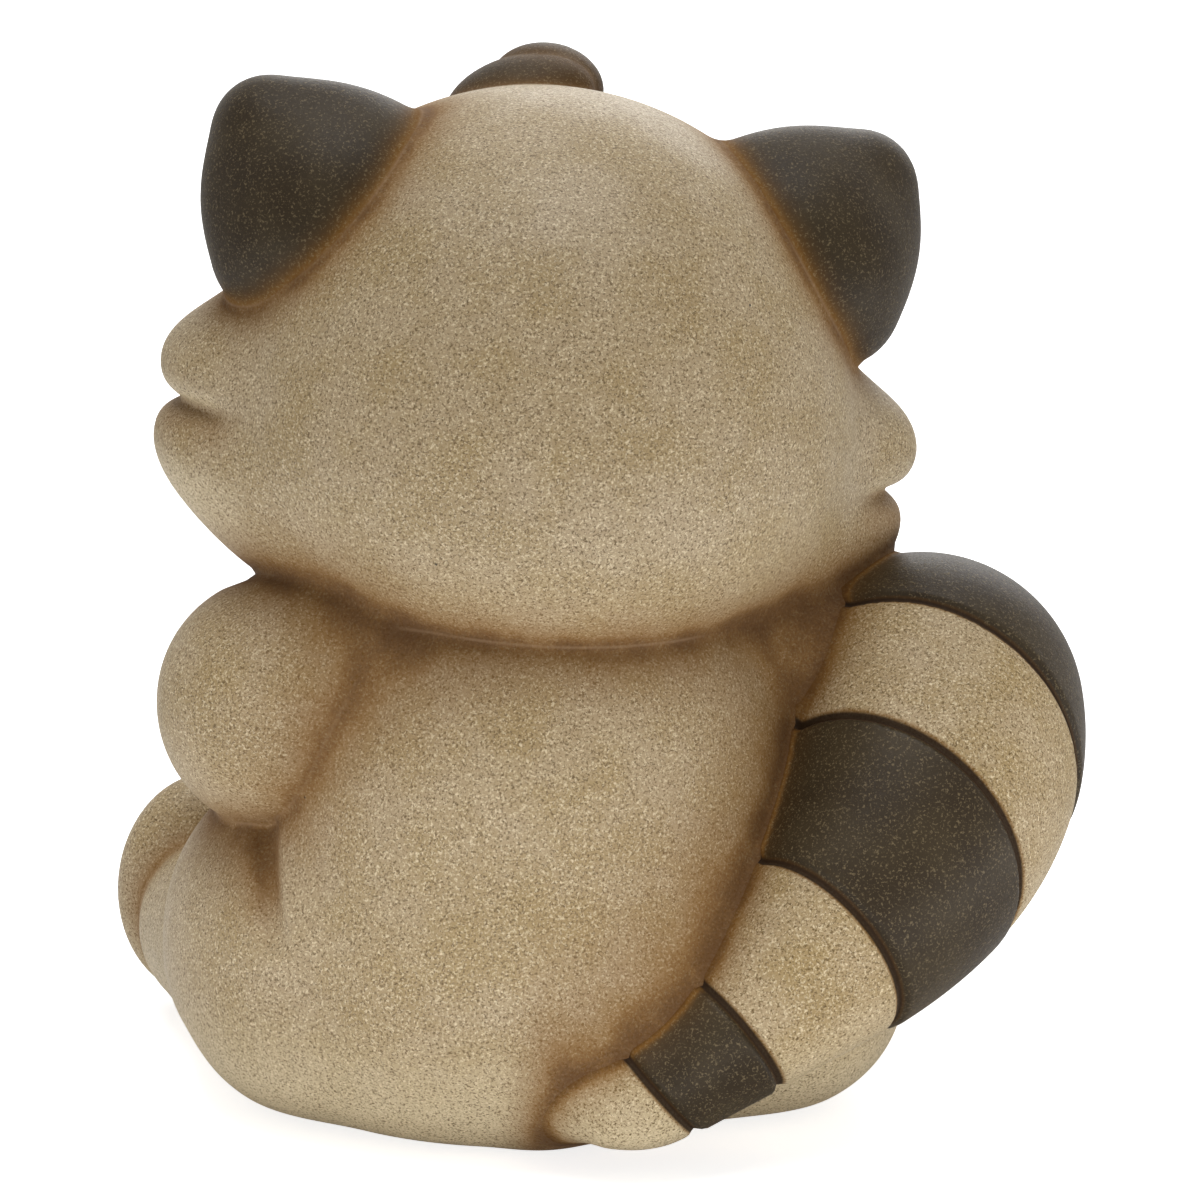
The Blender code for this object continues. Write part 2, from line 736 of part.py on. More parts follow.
def make_head(parts, cutters):
    """The hollow head and the swollen copy that its neighbours are cut with."""
    lumps = placed(head_lumps(), head_frame())
    head = fused("head", lumps, parts, OUTER_VOXEL, FACE_AREA)
    seat = grown(head, LUTE_GAP, cutters)
    seat.name = "head_seat"
    clear = grown(head, LUTE_GAP + WALL, cutters)
    clear.name = "head_wall_clear"
    hollow = fused("head_hollow", shrunk(lumps, WALL), cutters, INNER_VOXEL, INNER_FACE_AREA)
    hide_cutter(hollow)
    cut(head, hollow)
    return head, seat, clear


def make_torso(parts, cutters, floor, head_clear):
    """The hollow torso with its haunches and legs, and the swollen copy for its neighbours."""
    lumps = torso_lumps()
    torso = fused("torso", lumps, parts, OUTER_VOXEL, FACE_AREA, TORSO_FAIR_PASSES)
    seat = grown(torso, LUTE_GAP, cutters)
    seat.name = "torso_seat"
    clear = grown(torso, LUTE_GAP + WALL, cutters)
    clear.name = "torso_wall_clear"
    hollow = fused("torso_hollow", shrunk(lumps, WALL), cutters, INNER_VOXEL, INNER_FACE_AREA)
    hide_cutter(hollow)
    base = rod("base_wall", (0, SEAT_SETBACK, -FLOOR_DEPTH), (0, SEAT_SETBACK, WALL), SEAT_WIDTH, cutters)
    cut(hollow, head_clear, base)
    cut(torso, floor)
    return torso, seat, clear, hollow


def make_tail(parts, cutters, hollow_clear):
    """The banded tail, hollow like the torso that it lies against."""
    tail = swept("tail", tail_path(0.0), parts)
    carve_bands(tail)
    hollow = swept("tail_hollow", tail_path(WALL), cutters)
    hide_cutter(hollow)
    cut(hollow, *hollow_clear)
    return tail, hollow


def neck_vent(cutters):
    """The hole that joins the head's hollow to the torso's."""
    frame = head_frame()
    low = frame @ Vector((0, 0, -BOWL_DROP - BOWL_HEIGHT / 2))
    span = Vector((0, 0, 3 * WALL))
    return rod("neck_vent", low - span, low + span, NECK_VENT_RADIUS, cutters)


def tail_vent(cutters):
    """The hole that joins the tail's hollow to the torso's."""
    centre, radius = tail_station(BAND_EDGES[VENT_BAND])
    axis = Vector((0, TORSO_SETBACK, centre.z))
    inner = centre.lerp(axis, VENT_REACH)
    return rod("tail_vent", centre, inner, TAIL_VENT_RADIUS, cutters)


def drain(cutters):
    """The hole that the slip is poured out by, behind the middle of the base."""
    start = (0, DRAIN_SETBACK, -FLOOR_DEPTH)
    return rod("drain", start, (0, DRAIN_SETBACK, 3 * WALL), DRAIN_RADIUS, cutters)


def finish(item, *materials):
    """Give a piece its materials and smooth shading."""
    item.data.materials.clear()
    for material in materials:
        item.data.materials.append(material)
    item.data.shade_smooth()
    item.data.set_sharp_from_angle(angle=math.radians(SHARP_TURN))


def main():
    """Build every piece of the figurine."""
    clear_scene()
    parts = make_collection("raccoon_figurine")
    cutters = make_collection("cutters")
    floor = floor_block(cutters)
    frame = head_frame()

    head, head_seat, head_clear = make_head(parts, cutters)
    torso, torso_seat, torso_clear, torso_hollow = make_torso(parts, cutters, floor, head_clear)
    cut(torso, head_seat, torso_hollow)

    pieces = {}
    arm_seats = []
    for side, word in ((1, "left"), (-1, "right")):
        arm = fused("arm_" + word, arm_lumps(side), parts, OUTER_VOXEL, FACE_AREA)
        arm_seats.append(grown(arm, LUTE_GAP, cutters))
        pieces["arm_" + word] = cut(arm, torso_seat, head_seat)
        foot = rounded("foot_" + word, foot_lumps(side), parts, BALL_SEGMENTS)
        pieces["foot_" + word] = cut(foot, torso_seat, floor)
        ear = fused("ear_" + word, placed(ear_lumps(side), frame), parts, OUTER_VOXEL, FINE_FACE_AREA)
        cup = rounded("ear_cup_" + word, placed(ear_cup(side), frame), cutters, BALL_SEGMENTS)
        hide_cutter(cup)
        pieces["ear_" + word] = cut(ear, cup, head_seat)
        eye = rounded("eye_" + word, placed(eye_lumps(side), frame), parts, BALL_SEGMENTS)
        pieces["eye_" + word] = cut(eye, head_seat)

    lock = rounded("forelock", placed(lock_lumps(), frame), parts, BALL_SEGMENTS)
    lock_seat = grown(lock, LUTE_GAP, cutters)
    pieces["forelock"] = cut(lock, head_seat)
    small_lock = rounded("forelock_small", placed(small_lock_lumps(), frame), parts, BALL_SEGMENTS)
    pieces["forelock_small"] = cut(small_lock, head_seat, lock_seat)
    nose = rounded("nose", placed(nose_lumps(), frame), parts, BALL_SEGMENTS)
    pieces["nose"] = cut(nose, head_seat)

    tail, tail_hollow = make_tail(parts, cutters, (torso_clear, head_clear))
    cut(tail, torso_seat, head_seat, arm_seats[1], tail_hollow)

    vent = neck_vent(cutters)
    side_vent = tail_vent(cutters)
    cut(head, vent)
    cut(torso, vent, side_vent, drain(cutters))
    cut(tail, side_vent)

    dark_pieces = ("ear_left", "ear_right", "forelock", "forelock_small")
    black_pieces = ("nose", "eye_left", "eye_right")
    finish(head, principled("head_engobe", BEIGE, BEIGE_ROUGHNESS))
    finish(torso, principled("torso_engobe", BEIGE, BEIGE_ROUGHNESS))
    light = principled("tail_light_engobe", BEIGE, BEIGE_ROUGHNESS)
    dark = principled("tail_dark_engobe", DARK_BROWN, DARK_ROUGHNESS)
    finish(tail, light, dark)
    for name, piece in pieces.items():
        if name in dark_pieces:
            finish(piece, principled(name + "_engobe", DARK_BROWN, DARK_ROUGHNESS))
        elif name in black_pieces:
            finish(piece, principled(name + "_glaze", BLACK, GLAZE_ROUGHNESS))
        else:
            finish(piece, principled(name + "_engobe", BEIGE, BEIGE_ROUGHNESS))


main()
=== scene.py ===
"""Looks of a seated ceramic raccoon figurine, drawn round the fixed frame of its castings.

Every clay form is a distance in millimetres (+Z up, the raccoon faces -Y, its left side is +X).
The forms are blended as wet clay is, skinned once, and parted along the luting seams into the
pieces of the frame. Each piece gets a wall, so neighbours meet without a step and hold no stray faces.
Masks for the sprayed colours and for the light painted on from below lie on the vertices as attributes, and
the finishes read them.
"""

import json
import logging
import math
from collections.abc import Callable
from dataclasses import dataclass
from enum import Enum

import bpy
import numpy as np
from mathutils import Matrix, Vector


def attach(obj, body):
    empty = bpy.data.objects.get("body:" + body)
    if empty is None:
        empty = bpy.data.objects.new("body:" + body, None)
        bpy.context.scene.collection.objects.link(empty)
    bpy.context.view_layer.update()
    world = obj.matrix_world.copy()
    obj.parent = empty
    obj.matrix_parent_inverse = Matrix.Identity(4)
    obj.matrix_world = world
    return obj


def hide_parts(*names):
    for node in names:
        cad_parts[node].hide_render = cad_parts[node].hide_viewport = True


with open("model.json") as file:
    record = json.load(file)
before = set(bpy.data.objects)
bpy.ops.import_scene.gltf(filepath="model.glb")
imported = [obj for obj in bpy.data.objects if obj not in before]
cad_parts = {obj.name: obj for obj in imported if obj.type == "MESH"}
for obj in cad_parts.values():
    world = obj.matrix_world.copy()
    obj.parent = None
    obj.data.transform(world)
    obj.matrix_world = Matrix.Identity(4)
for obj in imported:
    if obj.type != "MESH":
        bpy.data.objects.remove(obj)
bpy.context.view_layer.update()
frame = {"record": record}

LOG = logging.getLogger("raccoon")
MILLIMETRE = 0.001
FAR_AWAY = 60.0
TINY = 1e-6
LEAST_SLOPE = 0.25
LOW_CORNER, HIGH_CORNER = 0, 6
QUICK_CELL, FINE_CELL = 1.1, 0.72

Array = np.ndarray
Triple = tuple[float, float, float]
Span = tuple[float, float]
Field = Callable[[Array], Array]
Socket = bpy.types.NodeSocket


class Slot(Enum):
    """The record's material slots."""

    BEIGE = "beige_engobe"
    DARK = "dark_engobe"
    BANDED = "banded_engobe"
    GLAZE = "black_glaze"


class Make(Enum):
    """How the maker forms a piece, as its name ends."""

    CAST = "casting"
    PRESSED = "pressing"
    ROLLED = "bead"

    @classmethod
    def name_of(cls, node: str) -> str:
        """The name of the piece that stands for a node.

        Args:
            node: The node's name.

        Returns:
            That name, with the way of making after it.
        """
        if node in ("head", "torso", "tail"):
            return f"{node}_{cls.CAST.value}"
        if node.startswith(("nose", "eye")):
            return f"{node}_{cls.ROLLED.value}"
        return f"{node}_{cls.PRESSED.value}"


def smooth_min(first: Array, second: Array, reach: float) -> Array:
    """Join two distances with a fillet.

    Args:
        first: Distances to one form, in millimetres.
        second: Distances to the other form.
        reach: How far apart the two may be and still be blended.

    Returns:
        Distances to the filleted union.
    """
    share = np.maximum(reach - np.abs(first - second), 0.0) / reach
    return np.minimum(first, second) - share * share * (reach / 4)


def smooth_max(first: Array, second: Array, reach: float) -> Array:
    """The mirror of smooth_min: what two forms share, with a soft edge."""
    return -smooth_min(-first, -second, reach)


def smooth_step(values: Array, low: float, high: float) -> Array:
    """Rise from 0 to 1 between two limits.

    Args:
        values: What is compared with the limits.
        low: Where the result leaves 0.
        high: Where the result reaches 1.

    Returns:
        Values from 0 to 1.
    """
    share = np.clip((values - low) / (high - low), 0.0, 1.0)
    return share * share * (3 - 2 * share)


def bell(gap: Array, half: float, power: float = 2) -> Array:
    """A hump: 1 where the gap is 0, and about a third where it is half."""
    return np.exp(-((gap / half) ** power))


def squared(rows: Array) -> Array:
    """The squared length of each row."""
    return (rows * rows).sum(1)


def unit(rows: Array) -> Array:
    """The rows at length 1."""
    return rows / np.maximum(np.sqrt(squared(rows)), TINY)[:, None]


def turn_matrix(axis: str, degrees: float) -> Array:
    """A turn about one axis, for row vectors.

    Args:
        axis: One of x, y and z.
        degrees: The angle.

    Returns:
        A 3 by 3 matrix that takes world rows into the turned form's rows.
    """
    return np.array(Matrix.Rotation(math.radians(degrees), 3, axis.upper()), np.float32)


def both_sides(points: Array) -> Array:
    """The points with their X made positive, for a form that has a twin across X = 0."""
    folded = points.copy()
    folded[:, 0] = np.abs(folded[:, 0])
    return folded


def row_of(count: int, pitch: float) -> list[float]:
    """Evenly spaced places whose middle is 0."""
    return [(step - (count - 1) / 2) * pitch for step in range(count)]


@dataclass(frozen=True)
class Lump:
    """An ellipsoid of clay.

    Attributes:
        centre: Its middle.
        halves: Its three half sizes.
        axis: The axis that it is turned about.
        turn: Its turn in degrees.
    """

    centre: Triple
    halves: Triple
    axis: str = "y"
    turn: float = 0.0

    def distance(self, points: Array) -> Array:
        """Distance to the ellipsoid, good near its surface.

        Args:
            points: Rows of places in millimetres.

        Returns:
            One distance for each row, negative inside.
        """
        local = points - np.array(self.centre, np.float32)
        if self.turn:
            local = local @ turn_matrix(self.axis, self.turn)
        halves = np.array(self.halves, np.float32)
        shares = local / halves
        size = np.sqrt(squared(shares))
        return size * (size - 1) / (np.sqrt(squared(shares / halves)) + TINY)

    def front(self, offset: float, lift: float) -> float:
        """Where its front lies, if it isn't turned.

        Args:
            offset: How far to the side of its middle.
            lift: The height.

        Returns:
            The Y of its surface there.
        """
        share = 1 - (offset / self.halves[0]) ** 2 - ((lift - self.centre[2]) / self.halves[2]) ** 2
        return self.centre[1] - self.halves[1] * math.sqrt(max(0.0, share))


@dataclass(frozen=True)
class Limb:
    """A round bar whose radius changes evenly from its start to its end."""

    start: Triple
    end: Triple
    start_radius: float
    end_radius: float

    def distance(self, points: Array) -> Array:
        """Distance to the bar.

        Args:
            points: Rows of places in millimetres.

        Returns:
            One distance for each row, negative inside.
        """
        start = np.array(self.start, np.float32)
        way = np.array(self.end, np.float32) - start
        share = np.clip((points - start) @ way / (way @ way), 0.0, 1.0)
        gap = points - start - share[:, None] * way
        radius = self.start_radius + (self.end_radius - self.start_radius) * share
        return np.sqrt(squared(gap)) - radius


@dataclass(frozen=True)
class Plate:
    """A flat triangle swollen all round by a radius."""

    corners: tuple[Triple, Triple, Triple]
    radius: float

    def distance(self, points: Array) -> Array:
        """Distance to the swollen triangle.

        Args:
            points: Rows of places in millimetres.

        Returns:
            One distance for each row, negative inside.
        """
        places = [np.array(corner, np.float32) for corner in self.corners]
        edges = [places[(step + 1) % 3] - places[step] for step in range(3)]
        normal = np.cross(edges[0], edges[2])
        inside = np.zeros(len(points), int)
        nearest = np.full(len(points), FAR_AWAY * FAR_AWAY, np.float32)
        for corner, edge in zip(places, edges):
            local = points - corner
            inside += local @ np.cross(edge, normal) > 0
            share = np.clip(local @ edge / (edge @ edge), 0.0, 1.0)
            nearest = np.minimum(nearest, squared(local - share[:, None] * edge))
        height = (points - places[0]) @ normal
        over_face = (inside == 0) | (inside == 3)
        return np.sqrt(np.where(over_face, height * height / (normal @ normal), nearest)) - self.radius


@dataclass(frozen=True)
class HeadFrame:
    """Where the head sits: the middle of the skull, and its tip towards the raccoon's right."""

    centre: Triple = (-2.9, -3.0, 88.0)
    tip: float = -7.0

    def local(self, points: Array) -> Array:
        """The points as the head sees them."""
        return (points - np.array(self.centre, np.float32)) @ turn_matrix("y", self.tip)

    def world(self, points: Array) -> Array:
        """Places of the head's own frame as the figurine sees them."""
        return points @ turn_matrix("y", self.tip).T + np.array(self.centre, np.float32)


@dataclass(frozen=True)
class HeadForm:
    """Skull, bowl, cheek ruffs, muzzle and the carved mouth, all in the head's own frame.

    A fillet is the reach of the soft join of a form with those before it.
    """

    skull: Lump = Lump((0.8, 0, -0.2), (33.2, 33.0, 29.8))
    bowl: Lump = Lump((0, 0, -10.8), (36.0, 33.0, 24.0))
    nape: Lump = Lump((0, 5.0, -17.0), (27.0, 27.5, 19.3))
    upper_lobe: Lump = Lump((33.5, -3, -6.0), (11.0, 10.0, 7.4), "y", 8.0)
    lower_lobe: Lump = Lump((33.0, -3, -17.2), (11.2, 11.0, 7.4), "y", -18.0)
    jaw: Lump = Lump((24.0, -3, -18.0), (14.0, 16.0, 12.0), "y", -40.0)
    ruff_shift: Triple = (-0.9, 0.0, -0.6)
    ruff_roll: float = -2.4
    fold_depth: float = 0.9
    fold_half: float = 0.8
    fold_span: Span = (35.0, 40.0)
    muzzle: Lump = Lump((0, -31.0, -9.0), (13.0, 10.0, 9.0))
    eyelid_size: Triple = (3.7, 1.7, 4.1)
    eye_spacing: float = 24.0
    eye_lift: float = 4.5
    eye_proud: float = 0.4
    mouth_width: float = 9.0
    mouth_lift: float = 0.5
    mouth_drop: float = 6.5
    smile: tuple[Span, ...] = ((0.0, 0.6), (0.4, -0.5), (1.0, 0.9))
    line_radius: float = 0.55
    line_edge: float = 0.8
    bowl_fillet: float = 10.0
    nape_fillet: float = 5.0
    lobe_fillet: float = 1.2
    ruff_fillet: float = 6.0
    jaw_fillet: float = 8.0
    muzzle_fillet: float = 7.0
    eyelid_fillet: float = 1.5

    def ruffed(self, local: Array) -> Array:
        """The points as the cheeks see them: shifted and rolled a little, then folded to one side."""
        return both_sides((local - np.array(self.ruff_shift, np.float32)) @ turn_matrix("y", self.ruff_roll))

    def cheek_fold(self, cheeks: Array) -> tuple[Array, Array]:
        """The crease between the lobes of a cheek.

        Args:
            cheeks: Rows of places as the cheeks see them.

        Returns:
            Signed distances from the crease, positive below it, and how fully it shows, from 0 to 1.
        """
        gap = (self.upper_lobe.distance(cheeks) - self.lower_lobe.distance(cheeks)) / 2
        return gap, smooth_step(cheeks[:, 0], *self.fold_span)

    def lobes(self, folded: Array) -> Array:
        """Both lobes of a cheek ruff, for points folded to one side."""
        upper, lower = self.upper_lobe.distance(folded), self.lower_lobe.distance(folded)
        return smooth_min(upper, lower, self.lobe_fillet)

    def eye_place(self) -> Triple:
        """The middle of the left eye, just proud of the skull and bowl.

        Returns:
            Its place in the head's own frame.
        """
        side = self.eye_spacing / 2
        ahead = min(form.front(side, self.eye_lift) for form in (self.skull, self.bowl))
        return (side, ahead - self.eye_proud, self.eye_lift)

    def mouth(self) -> list[Limb]:
        """The carved line from the nose to the mouth, and one side of the smile.

        Returns:
            The thin bars that are cut out, from the top down and then outwards.
        """
        top = self.muzzle.centre[2] + self.mouth_lift
        low = top - self.mouth_drop
        half = self.mouth_width / 2
        places = [(0.0, top), *((half * share, low + lift) for share, lift in self.smile)]
        path = [(side, self.muzzle.front(side, lift), lift) for side, lift in places]
        radii = (self.line_radius, self.line_radius)
        return [Limb(start, end, *radii) for start, end in zip(path, path[1:])]

    def distance(self, local: Array) -> Array:
        """Distance to the whole head.

        Args:
            local: Rows of places in the head's own frame.

        Returns:
            One distance for each row, negative inside.
        """
        folded = both_sides(local)
        cheeks = self.ruffed(local)
        body = smooth_min(self.skull.distance(local), self.bowl.distance(local), self.bowl_fillet)
        body = smooth_min(body, self.nape.distance(local), self.nape_fillet)
        body = smooth_min(body, self.lobes(cheeks), self.ruff_fillet)
        body = smooth_min(body, self.jaw.distance(cheeks), self.jaw_fillet)
        gap, shown = self.cheek_fold(cheeks)
        body = body + self.fold_depth * shown * bell(gap, self.fold_half)
        body = smooth_min(body, self.muzzle.distance(local), self.muzzle_fillet)
        eyelid = Lump(self.eye_place(), self.eyelid_size)
        body = smooth_min(body, eyelid.distance(folded), self.eyelid_fillet)
        for line in self.mouth():
            body = smooth_max(body, -line.distance(folded), self.line_edge)
        return body


@dataclass(frozen=True)
class EarForm:
    """A left ear in the head's frame: a plate, its round blade, its swollen root and the cup in front."""

    plate: Plate = Plate(((18.4, 0, 18.9), (34.9, -3, 21.8), (33.5, 1, 6.9)), 5.6)
    blade: Lump = Lump((28.2, -0.6, 15.1), (12.7, 6.6, 11.9))
    root: Lump = Lump((26.2, 2.6, 13.3), (12.9, 11.0, 12.4))
    cup: Lump = Lump((33.0, -12.5, 19.6), (8.8, 9.5, 9.0))
    blade_fillet: float = 5.0
    root_fillet: float = 4.0
    cup_edge: float = 2.0

    def distance(self, folded: Array) -> Array:
        """Distance to the ear.

        Args:
            folded: Rows of places in the head's own frame, folded to one side.

        Returns:
            One distance for each row, negative inside.
        """
        body = smooth_min(self.plate.distance(folded), self.blade.distance(folded), self.blade_fillet)
        body = smooth_min(body, self.root.distance(folded), self.root_fillet)
        return smooth_max(body, -self.cup.distance(folded), self.cup_edge)


@dataclass(frozen=True)
class ForelockForm:
    """Two locks low on the front of the crown, in the head's own frame."""

    lock: Lump = Lump((4.0, -15.0, 25.2), (9.0, 7.0, 5.5), "y", 22.0)
    small_lock: Lump = Lump((0.5, -18.0, 26.9), (6.7, 6.5, 5.2))


@dataclass(frozen=True)
class TorsoForm:
    """The egg of the back, its seat, the haunches and legs cast with it, and the drain under it."""

    egg: Lump = Lump((0, 1, 34), (33.0, 31.0, 40.0))
    seat: Lump = Lump((0, 3, 18), (36.0, 32.0, 20.0))
    haunch: Lump = Lump((25.7, -1.5, 19.4), (16.7, 22.0, 19.6))
    hip: Lump = Lump((-24.6, 7, 13.6), (17.8, 20.0, 14.6))
    base: Lump = Lump((1.5, 0, 8.4), (33.5, 27.5, 11.5))
    thigh_fold: Limb = Limb((32.3, 9.8, 37.6), (32.5, 19.0, 25.6), 1.3, 0.5)
    leg: Limb = Limb((27, -14, 13), (31, -32.5, 12), 13.0, 11.0)
    drain: Limb = Limb((0.0, 9.0, -4.0), (0.0, 9.0, 12.0), 4.0, 4.0)
    pocket: Lump = Lump((0.0, 9.0, 16.0), (9.0, 9.0, 9.0))
    seat_fillet: float = 10.0
    base_fillet: float = 4.0
    hip_fillet: float = 4.0
    leg_fillet: float = 6.0
    haunch_fillet: float = 5.0
    fold_edge: float = 2.4
    base_edge: float = 2.4
    drain_fillet: float = 1.0
    drain_edge: float = 1.2

    def trunk(self, points: Array) -> Array:
        """Egg and seat with the full right hip, without the haunches."""
        trunk = smooth_min(self.egg.distance(points), self.seat.distance(points), self.seat_fillet)
        trunk = smooth_min(trunk, self.base.distance(points), self.base_fillet)
        return smooth_min(trunk, self.hip.distance(points), self.hip_fillet)

    def haunches(self, points: Array) -> Array:
        """Both haunches with their legs."""
        folded = both_sides(points)
        return smooth_min(self.haunch.distance(folded), self.leg.distance(folded), self.leg_fillet)

    def distance(self, points: Array) -> Array:
        """Distance to the torso, cut flat where it stands and drained through its base.

        Args:
            points: Rows of places in millimetres.

        Returns:
            One distance for each row, negative inside.
        """
        body = smooth_min(self.trunk(points), self.haunches(points), self.haunch_fillet)
        body = smooth_max(body, -self.thigh_fold.distance(both_sides(points)), self.fold_edge)
        body = smooth_max(body, -points[:, 2], self.base_edge)
        hollow = smooth_min(self.drain.distance(points), self.pocket.distance(points), self.drain_fillet)
        return smooth_max(body, -hollow, self.drain_edge)


@dataclass(frozen=True)
class ArmForm:
    """A left arm: upper arm, forearm, paw and the fingers of the paw."""

    upper: Limb = Limb((17, 5.5, 56), (28.9, 3, 49.2), 12.5, 14.4)
    forearm: Limb = Limb((28.5, -3, 45), (18, -33, 35), 11.5, 8.0)
    paw: Lump = Lump((16, -36, 34), (8.0, 7.0, 7.0))
    finger: Triple = (2.3, 3.4, 3.5)
    finger_count: int = 4
    finger_pitch: float = 3.5
    finger_arc: float = 0.09
    finger_ahead: float = 5.2
    finger_drop: float = 2.2
    elbow_fillet: float = 5.0
    wrist_fillet: float = 3.0
    finger_fillet: float = 0.9

    def distance(self, folded: Array) -> Array:
        """Distance to the arm.

        Args:
            folded: Rows of places folded to one side.

        Returns:
            One distance for each row, negative inside.
        """
        body = smooth_min(self.upper.distance(folded), self.forearm.distance(folded), self.elbow_fillet)
        body = smooth_min(body, self.paw.distance(folded), self.wrist_fillet)
        side, ahead, lift = self.paw.centre
        for across in row_of(self.finger_count, self.finger_pitch):
            back = self.finger_arc * across * across
            place = (side + across, ahead - self.finger_ahead + back, lift - self.finger_drop)
            body = smooth_min(body, Lump(place, self.finger).distance(folded), self.finger_fillet)
        return body


@dataclass(frozen=True)
class FootForm:
    """A left foot: an upright sole with grooves between its toes.

    Each end of a groove has its spread against the pitch, its place behind or ahead, and its height.
    """

    sole: Lump = Lump((32.5, -42, 14.5), (11.3, 6.5, 14.0), "z", 10.0)
    groove_count: int = 3
    groove_pitch: float = 5.0
    groove_radius: float = 0.75
    groove_arc: float = 0.055
    groove_ends: tuple[Triple, Triple] = ((1.04, -2.0, 29.2), (1.0, -6.0, 24.0))
    edge: float = 1.0

    def grooves(self) -> list[Limb]:
        """The carved lines between the toes, over the upper edge of the sole.

        Returns:
            One thin bar for each groove.
        """
        side, middle, _ = self.sole.centre
        lines = []
        for across in row_of(self.groove_count, self.groove_pitch):
            drop = self.groove_arc * across * across
            ends = [
                (side + across * spread, middle + back, lift - drop)
                for spread, back, lift in self.groove_ends
            ]
            lines.append(Limb(*ends, self.groove_radius, self.groove_radius))
        return lines

    def distance(self, folded: Array) -> Array:
        """Distance to the foot, cut flat where it stands.

        Args:
            folded: Rows of places folded to one side.

        Returns:
            One distance for each row, negative inside.
        """
        body = smooth_max(self.sole.distance(folded), -folded[:, 2], self.edge)
        for line in self.grooves():
            body = smooth_max(body, -line.distance(folded), self.edge)
        return body


@dataclass(frozen=True)
class TailForm:
    """A tail that leaves the back of the seat and climbs round the right flank, with carved rings."""

    root_radius: float = 6.0
    tip_radius: float = 18.5
    body_reach: float = 27.1
    body_setback: float = 1.0
    root_height: float = 8.1
    rise: float = 36.2
    root_angle: float = 97.4
    sweep: float = 79.3
    root_share: float = 0.108
    root_dig: float = 12.0
    root_pinch: float = 1.2
    root_lift: float = 0.8
    swell_power: float = 1.17
    rise_power: float = 1.3
    rings: tuple[float, ...] = (0.11, 0.298, 0.521, 0.741, 0.927)
    ring_turn: float = 73.0
    ring_pitch: Span = (44.0, 11.0)
    groove_depth: float = 0.55
    groove_half: float = 0.6
    dark_proud: float = 0.28
    proud_span: Span = (-0.2, 0.9)
    station_count: int = 25
    refinements: int = 3

    def stations(self, shares: Array) -> tuple[Array, Array]:
        """Centres and radii along the tail.

        Args:
            shares: Places along the tail, from just below 0 at the root to 1 at the tip.

        Returns:
            Rows of centres, and one radius for each.
        """
        onward = np.maximum(shares, 0.0)
        swell = smooth_step(np.minimum(1.0, onward) ** self.swell_power, 0.0, 1.0)
        radius = self.root_radius + (self.tip_radius - self.root_radius) * swell
        neck = smooth_step(-shares, -self.rings[0], self.root_share / 2)
        radius = radius - self.root_pinch * neck
        dig = self.root_dig * (np.minimum(shares, 0.0) / self.root_share) ** 2
        reach = self.body_reach + radius - dig
        turn = np.radians(self.root_angle + self.sweep * shares)
        height = self.root_height + self.rise * onward**self.rise_power + self.root_lift * neck
        centres = np.stack([reach * np.cos(turn), self.body_setback + reach * np.sin(turn), height], 1)
        return centres.astype(np.float32), radius.astype(np.float32)

    def plain(self, points: Array) -> Array:
        """Distance to the tail before its rings are carved.

        Args:
            points: Rows of places in millimetres.

        Returns:
            One distance for each row, negative inside.
        """
        shares = np.linspace(-self.root_share, 1.0, self.station_count)
        centres, radii = self.stations(shares)
        best = np.full(len(points), np.inf, np.float32)
        place = np.zeros(len(points))
        for share, centre, radius in zip(shares, centres, radii):
            size = np.sqrt(squared(points - centre)) - radius
            closer = size < best
            best[closer] = size[closer]
            place[closer] = share
        step = shares[1] - shares[0]
        for _ in range(self.refinements):
            low, middle, high = (self.gap_at(points, place + shift) for shift in (-step, 0.0, step))
            bend = np.maximum(low - 2 * middle + high, TINY)
            place = place - step * np.clip((high - low) / (2 * bend), -1.0, 1.0)
            place = np.clip(place, -self.root_share, 1.0)
            step /= 4
        return self.gap_at(points, place)

    def gap_at(self, points: Array, shares: Array) -> Array:
        """Distance from each point to the ball at its own place along the tail."""
        centres, radii = self.stations(np.clip(shares, -self.root_share, 1.0))
        return np.sqrt(squared(points - centres)) - radii

    def ring_planes(self) -> list[tuple[Array, Array]]:
        """A point and the unit normal of each carved ring.

        Returns:
            One pair for each ring, from the root to the tip.
        """
        root, tip = self.ring_pitch
        planes = []
        for share in self.rings:
            turn = math.radians(self.root_angle + self.sweep * share + self.ring_turn)
            pitch = math.radians(root + (tip - root) * share)
            normal = (math.cos(turn) * math.cos(pitch), math.sin(turn) * math.cos(pitch), math.sin(pitch))
            centre = self.stations(np.array([share]))[0][0]
            planes.append((centre, np.array(normal, np.float32)))
        return planes

    def band(self, points: Array) -> tuple[Array, Array]:
        """Where each point lies among the rings.

        Args:
            points: Rows of places in millimetres.

        Returns:
            The signed distance to the nearest ring, positive on a dark band, and the band's number.
        """
        gaps = np.stack([(points - centre) @ normal for centre, normal in self.ring_planes()])
        number = (gaps > 0).sum(0)
        nearest = np.abs(gaps).min(0)
        return np.where(number % 2 == 1, nearest, -nearest), number

    def distance(self, points: Array) -> Array:
        """Distance to the tail with its rings carved and its dark bands standing proud.

        Args:
            points: Rows of places in millimetres.

        Returns:
            One distance for each row, negative inside.
        """
        ring, _ = self.band(points)
        groove = self.groove_depth * bell(ring, self.groove_half)
        proud = self.dark_proud * smooth_step(ring, *self.proud_span)
        return self.plain(points) + groove - proud


def kind_of(name: str) -> str:
    """The kind of a piece: its name without its side or size."""
    return name.split("_")[0]


